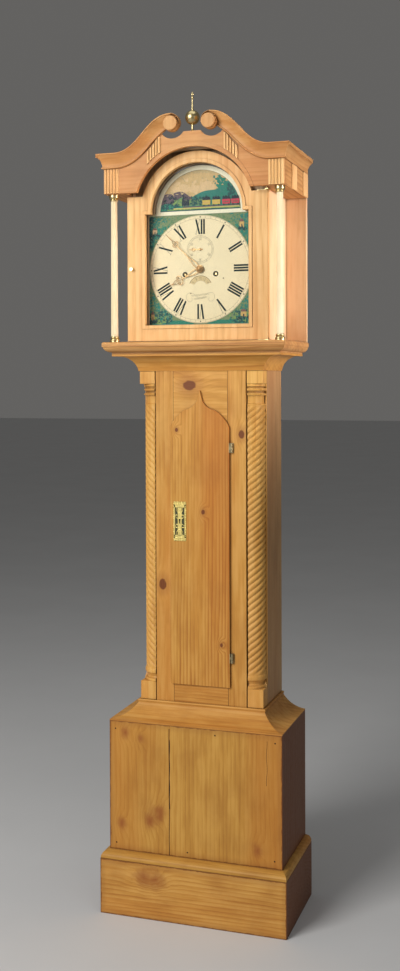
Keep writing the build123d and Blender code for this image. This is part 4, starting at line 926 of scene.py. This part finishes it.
def ring(shape, centre, inner, outer, depth, start=0.0, end=360.0, steps=120, slot=0):
    """Flat band between two radii."""
    rims = zip(circle(*centre, inner, start, end, steps), circle(*centre, outer, start, end, steps))
    shape.skin([[(a[0], depth, a[1]), (b[0], depth, b[1])] for a, b in rims], slot=slot)


def bar(shape, low, high, width, angle, slot=BLACK, depth=INK_DEPTH):
    """Straight stroke between two (offset, radius) ends, cut square to the radius."""
    (u0, r0), (u1, r1) = low, high
    half = width / 2
    corners = [(u0 - half, r0), (u0 + half, r0), (u1 + half, r1), (u1 - half, r1)]
    shape.patch([turned_to(DIAL_AT, angle, u, r) for u, r in corners], depth, slot)


def numeral(shape, text, angle):
    """Roman numeral that stands on the ring with its feet towards the centre."""
    u = -sum(ADVANCE[letter] for letter in text) / 2
    for letter in text:
        middle = u + ADVANCE[letter] / 2
        strokes, serifs = STROKES[letter]
        for foot, head, width in strokes:
            bar(shape, (middle + foot, LETTER_LOW), (middle + head, LETTER_HIGH), width, angle)
        for offset, radius in serifs:
            place = middle + offset
            ends = (place, radius - 0.3), (place, radius + 0.3)
            bar(shape, *ends, THICK + 1.6, angle, depth=INK_DEPTH + 0.02)
        u += ADVANCE[letter]


# pen strokes of the small figures, in a box 2 wide and 4 high
DIGITS = {
    "0": [(0, 0), (2, 0), (2, 4), (0, 4), (0, 0)],
    "1": [(1, 0), (1, 4), (0.3, 3.2)],
    "2": [(0, 3.4), (0.6, 4), (1.7, 4), (2, 3), (0, 0), (2, 0)],
    "3": [(0, 4), (2, 4), (0.9, 2.4), (2, 1.6), (1.6, 0.1), (0, 0.2)],
    "4": [(1.6, 0), (1.6, 4), (0, 1.4), (2.2, 1.4)],
    "5": [(2, 4), (0.2, 4), (0, 2.3), (1.6, 2.4), (2, 1), (1.2, 0), (0, 0.3)],
    "6": [(1.8, 4), (0.3, 2.4), (0, 1), (1, 0), (2, 1), (1.2, 2.2), (0.2, 1.8)],
    "8": [(1, 2.1), (0, 3), (1, 4), (2, 3), (1, 2.1), (0, 1), (1, 0), (2, 1), (1, 2.1)],
}
DIGIT_ADVANCE = 2.8


def figures(shape, text, centre, size, angle):
    """Small figures along a tangent, with their feet towards the centre of the ring."""
    start = -(len(text) * DIGIT_ADVANCE - 0.8) / 2
    for i, digit in enumerate(text):
        points = [
            turned_to(centre, angle, (start + i * DIGIT_ADVANCE + px) * size, (pz - 2) * size)
            for px, pz in DIGITS[digit]
        ]
        for ends in zip(points, points[1:]):
            shape.line(ends, 0.42 * size, GREY, INK_DEPTH)


def dial_ground():
    """Cream disc of the hours with a hole at each arbor."""
    disc = Shape()
    edit = bmesh.new()
    outlines = [dot(*DIAL_AT, DISC_R, 144), dot(*DIAL_AT, 6.2, 28), dot(*SECONDS_AT, 2.4, 28)]
    outlines += [dot(*hole, 6.4, 28) for hole in WIND_HOLES]
    edges = []
    for outline in outlines:
        loop = [edit.verts.new((*point, 0)) for point in outline]
        edges += [edit.edges.new((loop[i - 1], loop[i])) for i in range(len(loop))]
    bmesh.ops.triangle_fill(edit, use_beauty=True, edges=edges)
    edit.verts.index_update()
    points = [(v.co.x, DIAL_FACE + 0.75, v.co.y) for v in edit.verts]
    disc.add(points, [tuple(v.index for v in f.verts) for f in edit.faces])
    edit.free()
    return disc


def hour_ring(marks):
    for hour, text in enumerate(HOURS):
        numeral(marks, text, 30.0 * hour)
    for inner, outer in MINUTE_TRACK:
        ring(marks, DIAL_AT, inner, outer, INK_DEPTH, slot=GREY)
    for minute in range(60):
        angle = 6.0 * minute
        if minute % 5:
            bar(marks, (0, 141.0), (0, 147.8), 0.5, angle, GREY)
        else:
            marks.patch(dot(*turned_to(DIAL_AT, angle, 0, 144.4), 1.7, 14), INK_DEPTH, BLACK)


def seconds_ring(marks):
    for radius in (38.2, 33.6):
        ring(marks, SECONDS_AT, radius - 0.25, radius + 0.2, INK_DEPTH, steps=72, slot=GREY)
    for second in range(60):
        tick = [turned_to(SECONDS_AT, 6.0 * second, 0, radius) for radius in (34.0, 38.0)]
        marks.line(tick, 0.35 if second % 5 else 0.8, GREY, INK_DEPTH)
    for i, text in enumerate(("60", "10", "20", "30", "40", "50")):
        figures(marks, text, turned_to(SECONDS_AT, 60.0 * i, 0, 28.6), 1.35, 60.0 * i)


def calendar_arc(marks):
    """Arched calendar opening, painted."""
    ring(marks, CALENDAR_AT, 33.0, 34.4, INK_DEPTH, 22, 158, 50, slot=BROWN)
    ring(marks, CALENDAR_AT, 20.0, 20.5, INK_DEPTH, 30, 150, 40, slot=GREY)
    ring(marks, CALENDAR_AT, 20.5, 33.0, INK_DEPTH - 0.05, 26, 154, 50, slot=STRAW)
    for text, angle in (("6", -52), ("8", -26), ("10", 0), ("12", 26), ("14", 52)):
        figures(marks, text, turned_to(CALENDAR_AT, angle, 0, 26.6), 1.6, angle)


def flourish(marks):
    """Plain pen scrolls with no letters."""
    for side, _ in SIDES:
        scroll = bezier([(side * 4, 1700), (side * 22, 1726), (side * 46, 1722), (side * 40, 1700)], 30)
        curl = bezier([(side * 40, 1700), (side * 34, 1688), (side * 18, 1694), (side * 26, 1706)], 24)
        for path in (scroll, curl):
            marks.line(path, 0.5, GREY, INK_DEPTH)
    for level, width in ((1712.0, 26.0), (1703.0, 18.0)):
        wave = [
            (lerp(-width, width, i / 60), level + 2.6 * math.sin(i * 0.85) + 5.0 * (i / 60 - 0.5))
            for i in range(61)
        ]
        marks.line(wave, 0.6, GREY, INK_DEPTH)


def dial_marks():
    marks = Shape()
    hour_ring(marks)
    seconds_ring(marks)
    calendar_arc(marks)
    flourish(marks)
    for hole in WIND_HOLES[::-1]:
        ring(marks, hole, 6.3, 7.6, INK_DEPTH, steps=30)
    for angle in (112.0, 203.0):
        marks.patch(dot(*turned_to(DIAL_AT, angle, 0, 72.0), 1.9), INK_DEPTH, GREY)
    return marks


def arch_band():
    """Pale band round the lunette and along its foot."""
    band = Shape()
    front = DIAL_FACE + 1.0
    ring(band, ARCH_AT, LUNETTE_R, BAND_R, front - 0.1, -0.5, 180.5, 90)
    ring(band, ARCH_AT, 116.6, 117.3, front, 0, 180, 90, slot=1)
    edge, half, foot, head = DIAL_EDGE, LUNETTE_HALF, 1940.6, 1945.4
    band.patch([(-edge, DIAL_SHOULDER), (edge, DIAL_SHOULDER), (BAND_R, foot), (-BAND_R, foot)], front)
    band.patch([(-half, foot), (half, foot), (half, head), (-half, head)], front + 0.02)
    return band


INK = paint("numeral_black", (0.003, 0.020, 0.022), vary=0.3, rough=0.6, relief=0.05)
FAINT = paint("dial_fine_lines", (0.20, 0.16, 0.08), vary=0.3, relief=0.05)
FIGURE_BROWN = paint("calendar_brown", (0.22, 0.14, 0.05), vary=0.3)
STRAW_PAINT = paint("calendar_ground", (0.72, 0.58, 0.30), vary=0.2)
CREAM = paint("dial_cream", (0.88, 0.78, 0.50), vary=0.08, rough=0.45, scale=26.0, relief=0.03)
BAND_WHITE = paint("dial_band", (0.88, 0.86, 0.64), vary=0.12, relief=0.05)
finish_with(paint("iron_dial_paint", (0.78, 0.70, 0.48), vary=0.2, scale=40.0), "dial_plate")
build_flat(dial_ground(), "dial_cream_disc", CREAM)
build_flat(dial_marks(), "dial_lettering", [INK, FAINT, FIGURE_BROWN, STRAW_PAINT])
build_flat(arch_band(), "dial_arch_band", [BAND_WHITE, FAINT])


# ---- pierced brass hands
HAND_BRASS = metal("hand_brass", (0.50, 0.32, 0.14), (0.16, 0.075, 0.03), 0.34, 0.7, scale=60)


def pierced_hand(angle, back, front, boss, loop_end, crown, size, tip):
    """Cut brass hand: an open loop by the boss, a stem, a scrolled crown and a fine tip."""
    hand = Shape()

    def strip(points, widths):
        hand.ribbon([turned_to(DIAL_AT, angle, u, radius) for u, radius in points], widths, back, front)

    def crown_point(side, u, v):
        return side * size * u, crown + size * v

    span = loop_end - boss
    for side, _ in SIDES:
        loop = [(side * boss * 0.45, boss * 0.8), (side * boss * 0.75, boss + span * 0.35)]
        loop += [(side * 1.6, boss + span * 0.7), (0, loop_end)]
        strip(bezier(loop, 18), 1.8)
        wing = [crown_point(side, u, v) for u, v in ((0, -1), (1.5, -0.9), (1.35, 0.5), (0.35, 0.25))]
        strip(bezier(wing, 20), [lerp(1.2, 2.0, math.sin(math.pi * i / 20)) for i in range(21)])
        strip(circle(*crown_point(side, 0.62, 0.02), size * 0.26, 90 - side * 30, 90 + side * 290, 18), 1.1)
        leaf = [crown_point(side, u, v) for u, v in ((0.3, 0.25), (0.75, 0.75), (0.25, 1.1), (0, 1.55))]
        strip(bezier(leaf, 14), 1.3)
    strip([(0, loop_end - 1), (0, lerp(loop_end, crown - size, 0.5)), (0, crown - size + 1)], [2.6, 2.0, 1.8])
    strip([(0, crown - size), (0, crown + size * 0.6)], [1.4, 1.0])
    neck = crown + size * 1.4
    strip([(0, neck), (0, lerp(neck, tip, 0.3)), (0, tip)], [1.6, 3.0, 0.5])
    top = front + 0.3
    hand.dome(*DIAL_AT, [(2.2, back), (boss, back), (boss, front), (boss - 0.8, top), (2.2, top)])
    return hand


def minute_hand():
    """Hand with its domed collet."""
    hand = pierced_hand(315.0, 203.0, 204.0, boss=9.5, loop_end=52.0, crown=101.0, size=8.0, tip=143.0)
    collet = [(7.5, 204), (7.5, 204.9), (6.2, 205.8), (4.6, 206), (4.4, 207.4), (2.4, 208.2), (0.4, 208.4)]
    hand.dome(*DIAL_AT, collet)
    return hand


def hour_hand():
    return pierced_hand(243.3, 200.0, 201.0, boss=11.0, loop_end=46.0, crown=69.0, size=11.5, tip=99.0)


def seconds_hand():
    """Slim hand with an open eye on its long arm."""
    hand = Shape()
    z, back, front = SECONDS_AT[1], 197.0, 197.5
    hand.ribbon([(x, z) for x in (7.5, 4, 0, -14, -32.5)], [3.4, 1.8, 2.2, 2.0, 0.8], back, front)
    for lift in (6, -6):
        hand.ribbon(bezier([(-15, z), (-17, z + lift), (-23, z + lift), (-24, z)], 14), 1.2, back, front)
    hub = [(0.5, back), (3.6, back), (3.6, front), (2.6, front + 0.3), (1.4, front + 0.7), (0.3, front + 0.9)]
    hand.dome(*SECONDS_AT, hub)
    return hand


minute_hand().build("minute_hand_brass", HAND_BRASS, "minute_train", "brass", "minute_hand")
hour_hand().build("hour_hand_brass", HAND_BRASS, "hour_train", "brass", "hour_hand")
seconds_hand().build("seconds_hand_brass", HAND_BRASS, "escape_train", "brass", "seconds_hand")


# ---- pierced escutcheon
ESCUTCHEON_AT = (-58.1, 1084.3)
ESCUTCHEON_HALF, ESCUTCHEON_TALL = 18.0, 53.0
ESCUTCHEON_BACK, ESCUTCHEON_FRONT = 209.5, 210.7
# radius and height above the face of the beads along the ends, inside them, and along the sides
END_BEAD = ((2.6, -1.2), (2.6, -0.2), (1.6, 0.6), (0.2, 0.8))
INNER_BEAD = ((2.2, -0.2), (1.5, 0.6), (0.2, 0.9))
SIDE_BEAD = ((1.9, -1.2), (1.9, -0.2), (1.2, 0.5), (0.2, 0.7))
# control points of the cut scrolls, from the middle of the plate
LEAF = ((0, 22), (11, 26), (12, 38), (4, 42))
HOOK = ((6, 8), (15, 10), (14, 20), (7, 17))


def bead(plate, x, z, profile, sides):
    """Raised bead at an offset from the middle of the plate."""
    cx, cz = ESCUTCHEON_AT
    plate.dome(cx + x, cz + z, [(radius, ESCUTCHEON_FRONT + lift) for radius, lift in profile], sides)


def scroll(plate, points, width, steps, side, lift):
    """Cut strip along a curve given from the middle of the plate, in one of its four quarters."""
    cx, cz = ESCUTCHEON_AT
    path = bezier([(cx + side * x, cz + lift * z) for x, z in points], steps)
    plate.ribbon(path, width, ESCUTCHEON_BACK, ESCUTCHEON_FRONT)


def escutcheon_border(plate, side):
    """One side bar and one end bar, with their beads."""
    cx, cz = ESCUTCHEON_AT
    half, tall = ESCUTCHEON_HALF, ESCUTCHEON_TALL
    layer = (ESCUTCHEON_BACK, ESCUTCHEON_FRONT)
    plate.block(*sorted((cx + side * 13.6, cx + side * half)), *layer, cz - tall + 6, cz + tall - 6, 0.4)
    plate.block(cx - half, cx + half, *layer, *sorted((cz + side * 38.0, cz + side * tall)), 0.4)
    for i in range(7):
        x = lerp(-half + 2.6, half - 2.6, i / 6)
        bead(plate, x, side * (tall - 0.4), END_BEAD, 12)
        if 0 < i < 6:
            bead(plate, x, side * (tall - 6.0), INNER_BEAD, 12)
    for i in range(17):
        bead(plate, side * (half - 0.6), lerp(-tall + 5.0, tall - 5.0, i / 16), SIDE_BEAD, 10)


def keyhole(plate):
    """Dark keyhole with a raised rim, on the middle bar."""
    cx, cz = ESCUTCHEON_AT
    front = ESCUTCHEON_FRONT
    plate.block(cx - 6.2, cx + 6.2, ESCUTCHEON_BACK, front, cz - 40, cz + 40, 0.5)
    key = circle(cx, cz + 4.0, 3.0, -52, 232, 20) + [(cx - 1.5, cz - 7.0), (cx + 1.5, cz - 7.0)]
    plate.patch(key, front + 0.05, 1)
    for ends in zip(key, key[1:] + key[:1]):
        plate.ribbon(ends, 0.8, front - 0.2, front + 0.25)


def escutcheon():
    plate = Shape()
    for side, _ in SIDES:
        escutcheon_border(plate, side)
        for lift in (1, -1):
            scroll(plate, LEAF, 1.8, 16, side, lift)
            scroll(plate, HOOK, 1.5, 14, side, lift)
    keyhole(plate)
    for z, size in ((31, 2.4), (24, 1.6), (17, 2.0), (-17, 2.0), (-24, 1.6), (-31, 2.4)):
        bead(plate, 0, z, ((size, -0.2), (size * 0.7, 0.5), (0.2, 0.9)), 14)
    cx, cz = ESCUTCHEON_AT
    reach = ESCUTCHEON_HALF - 1
    ground = [(cx - reach, cz - 40), (cx + reach, cz - 40), (cx + reach, cz + 40), (cx - reach, cz + 40)]
    plate.patch(ground, ESCUTCHEON_BACK + 0.12, 2)
    return plate


PLATE_BRASS = metal(
    "escutcheon_brass", (0.90, 0.74, 0.26), (0.42, 0.32, 0.07), 0.26, 0.5, scale=90, metallic=0.75, bump=0.3
)
ESCUTCHEON_FINISHES = [
    PLATE_BRASS,
    paint("keyhole_shadow", (0.008, 0.006, 0.005), rough=0.9),
    paint("escutcheon_ground", (0.07, 0.075, 0.04), rough=0.5),
]
escutcheon().build(
    "pierced_escutcheon", ESCUTCHEON_FINISHES, "trunk_door", "brass", "escutcheon_plate", sharp=30
)


# ---- gut lines
LINE_DEPTH, LINE_R = 131.0, 0.7
SEAT_Z, WIND_Z, PULLEY_Z, PULLEY_R = 1707.0, 1769.0, 410.0, 22.7
LINE_OUT = 44.5 + 24.0 + LINE_R + 0.1
LINE_BACK = LINE_OUT - 2 * PULLEY_R


def gut():
    """Twisted gut: worn brown with the lay of its strands in relief."""
    g = Graph("twisted_gut")
    x, _, z = g.split()
    lay = g.math("SINE", g.plus(g.times(z, 2600.0), g.times(x, 1900.0)))
    worn = g.noise(g.coords, 60, 3)
    g.base(Base_Color=g.mix(worn, (0.46, 0.26, 0.09), (0.66, 0.46, 0.20)))
    g.base(Roughness=g.plus(0.32, g.times(worn, 0.2)))
    g.bump(lay, 0.5, 0.0003)
    return g.material


def gut_run(side):
    """The two upright falls, from the pulley up to the seat."""
    run = Shape()
    for x in (LINE_OUT, LINE_BACK):
        run.post(side * x, LINE_DEPTH, [(LINE_R, lerp(PULLEY_Z, SEAT_Z, i / 12)) for i in range(13)], 10)
    return run


def gut_top(side):
    """The line from the seat up to the barrel, and the knot of its other end."""
    top = Shape()
    top.post(side * LINE_OUT, LINE_DEPTH, [(LINE_R, SEAT_Z), (LINE_R, 1738.0), (LINE_R, WIND_Z)], 10)
    knot = [(0.1, 1702.1), (3.0, 1702.2), (3.2, 1704.5), (2.6, 1706.8), (0.1, 1707.2)]
    top.post(side * LINE_BACK, LINE_DEPTH, knot, 12)
    return top


def gut_loop(side):
    """The half turn under the pulley."""
    loop = Shape()
    rows = []
    for angle in [math.pi * (1 + i / 24) for i in range(25)]:
        row = []
        for turn in [2 * math.pi * k / 8 for k in range(8)]:
            reach = PULLEY_R + LINE_R * math.cos(turn)
            x, z = LINE_OUT - PULLEY_R + reach * math.cos(angle), PULLEY_Z + reach * math.sin(angle)
            row.append((side * x, LINE_DEPTH + LINE_R * math.sin(turn), z))
        rows.append(row)
    loop.skin(rows, ring=True)
    return loop


GUT = gut()
for side, label in ((1, "going"), (-1, "strike")):
    node = f"{label}_line"
    strands = gut_run(side).build(f"{label}_gut_run", GUT, "case", "gut", node)
    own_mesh(strands)
    gut_top(side).build(f"{label}_gut_top", GUT, "case", "gut", node)
    gut_loop(side).build(f"{label}_gut_loop", GUT, f"{label}_weight", "gut", node)


# ---- signs of age and the trunk's rails
BASE_FACE = 266.25
NAIL_HEADS = ((-230, 508), (228, 508), (-228, 190), (226, 192), (60, 514), (-20, 186))
# middle, waviness and pitch of each crack, its heights, and its width and depth
CRACKS = (
    (205, 1.2, 0.09, range(392, 520, 8), 0.9, BASE_FACE),
    (-72, 0.4, 0.05, range(172, 530, 12), 2.0, BASE_FACE),
    (-71.2, 0.5, 0.11, range(300, 500, 10), 2.6, BASE_FACE + 0.02),
)


def age_marks():
    """Shrinkage crack, open board joint and old nail heads on the base."""
    marks = Shape()
    for middle, sway, pitch, heights, width, depth in CRACKS:
        marks.line([(middle + sway * math.sin(z * pitch), z) for z in heights], width, 0, depth)
    for x, z in NAIL_HEADS:
        marks.patch(dot(x, z, 2.2), BASE_FACE + 0.05)
    return marks


# half of the ogee head of the door opening: reach from the middle and height, from tip to shoulder
OGEE = [
    (0.0, 1.0), (0.09, 0.71), (0.16, 0.625), (0.25, 0.555), (0.37, 0.505), (0.51, 0.455), (0.67, 0.365),
    (0.81, 0.25), (0.92, 0.12), (1.0, 0.0),
]
OPENING_HALF, SHOULDER_Z, APEX_Z = 79.0, 1345.0, 1441.0
RAIL_DEPTH = 201.68
BOTTOM_RAIL = (579.2, 637.0)
TRUNK_HEAD = 1501.6


def rail_faces():
    """Faces of the top and bottom rails of the trunk, whose grain runs across."""
    rails = Shape()
    curve = [(-reach, lift) for reach, lift in OGEE[::-1]] + OGEE[1:]
    rows = []
    for reach, lift in curve:
        x = reach * OPENING_HALF
        rows.append([(x, RAIL_DEPTH, SHOULDER_Z + lift * (APEX_Z - SHOULDER_Z)), (x, RAIL_DEPTH, TRUNK_HEAD)])
    rails.skin(rows)
    low, high = BOTTOM_RAIL
    half = OPENING_HALF
    rails.patch([(-half, low), (half, low), (half, high), (-half, high)], RAIL_DEPTH)
    for x in (-half, half):
        for low, high in (BOTTOM_RAIL, (SHOULDER_Z, TRUNK_HEAD)):
            rails.line([(x, low), (x, (low + high) / 2), (x, high)], 0.9, 1, RAIL_DEPTH + 0.05)
    return rails


RAIL_WOOD = wood("pine_rails", *HONEY, grain="X", knots=RAIL_KNOTS, heart=(1.3, 0.10), seed=16.4, rings=110)
GAP = paint("old_gap", (0.035, 0.015, 0.010), rough=0.8)
rail_faces().build("trunk_rail_faces", [RAIL_WOOD, GAP], "case", "pine", sharp=180)
age_marks().build("base_age_marks", GAP, "case", "pine_dark", sharp=180)


# ---- stage, lights and camera
FLOOR_REACH = 40.0
# name, place, target, size, power, colour and spread
LAMPS = (
    ("key", (-1.5, -3.2, 2.7), (0, 0, 1.5), (1.8, 2.2), 127, (1.0, 0.97, 0.93), 180),
    ("fill", (2.9, -3.0, 1.8), (0, 0, 1.2), (2.0, 2.6), 8, (1.0, 0.96, 0.90), 180),
    ("hood", (1.9, -0.2, 1.80), (0.25, 0.02, 1.79), (0.7, 0.7), 2.3, (1.0, 0.88, 0.86), 30),
    ("top", (0.0, -0.6, 4.4), (0, 0, 1.2), (3.0, 2.0), 22, (1.0, 1.0, 1.0), 180),
)
CAMERA_AT = (1.0163, Y_BACK - 3.2753, 1.4723)
CAMERA_TURN = (90 - 0.7, 0.2, 18.3)
LENS, SHIFT_Y = 43.42, -0.0924


def link(name, data):
    thing = bpy.data.objects.new(name, data)
    bpy.context.scene.collection.objects.link(thing)
    return thing


def make_stage():
    """Wide pale floor."""
    g = Graph("pale_floor")
    cloud = g.noise(g.coords, 1.5, 4, 0.6)
    g.base(Base_Color=g.mix(cloud, (0.62, 0.63, 0.64), (0.70, 0.71, 0.72)), Roughness=0.85)
    mesh = bpy.data.meshes.new("studio_floor")
    reach = FLOOR_REACH
    corners = [(-reach, -reach, 0), (reach, -reach, 0), (reach, reach, 0), (-reach, reach, 0)]
    mesh.from_pydata(corners, [], [(0, 1, 2, 3)])
    mesh.materials.append(g.material)
    link("studio_floor", mesh)


def make_lights():
    for name, place, target, size, power, colour, spread in LAMPS:
        light = bpy.data.lights.new(name, "AREA")
        light.shape = "RECTANGLE"
        light.size, light.size_y = size
        light.energy = power
        light.color = colour
        light.spread = math.radians(spread)
        lamp = link(name, light)
        lamp.location = place
        lamp.rotation_euler = (Vector(target) - Vector(place)).to_track_quat("-Z", "Y").to_euler()
    world = bpy.data.worlds.new("studio")
    world.use_nodes = True
    colour, strength = world.node_tree.nodes["Background"].inputs[:2]
    colour.default_value = (0.84, 0.82, 0.79, 1)
    strength.default_value = 0.15
    bpy.context.scene.world = world


def make_camera():
    data = bpy.data.cameras.new("camera")
    data.lens = LENS
    data.sensor_width = 36.0
    data.shift_y = SHIFT_Y
    camera = link("camera", data)
    camera.location = CAMERA_AT
    camera.rotation_euler = [math.radians(turn) for turn in CAMERA_TURN]
    bpy.context.scene.camera = camera


make_stage()
make_lights()
make_camera()
bpy.context.scene.view_settings.view_transform = "Standard"
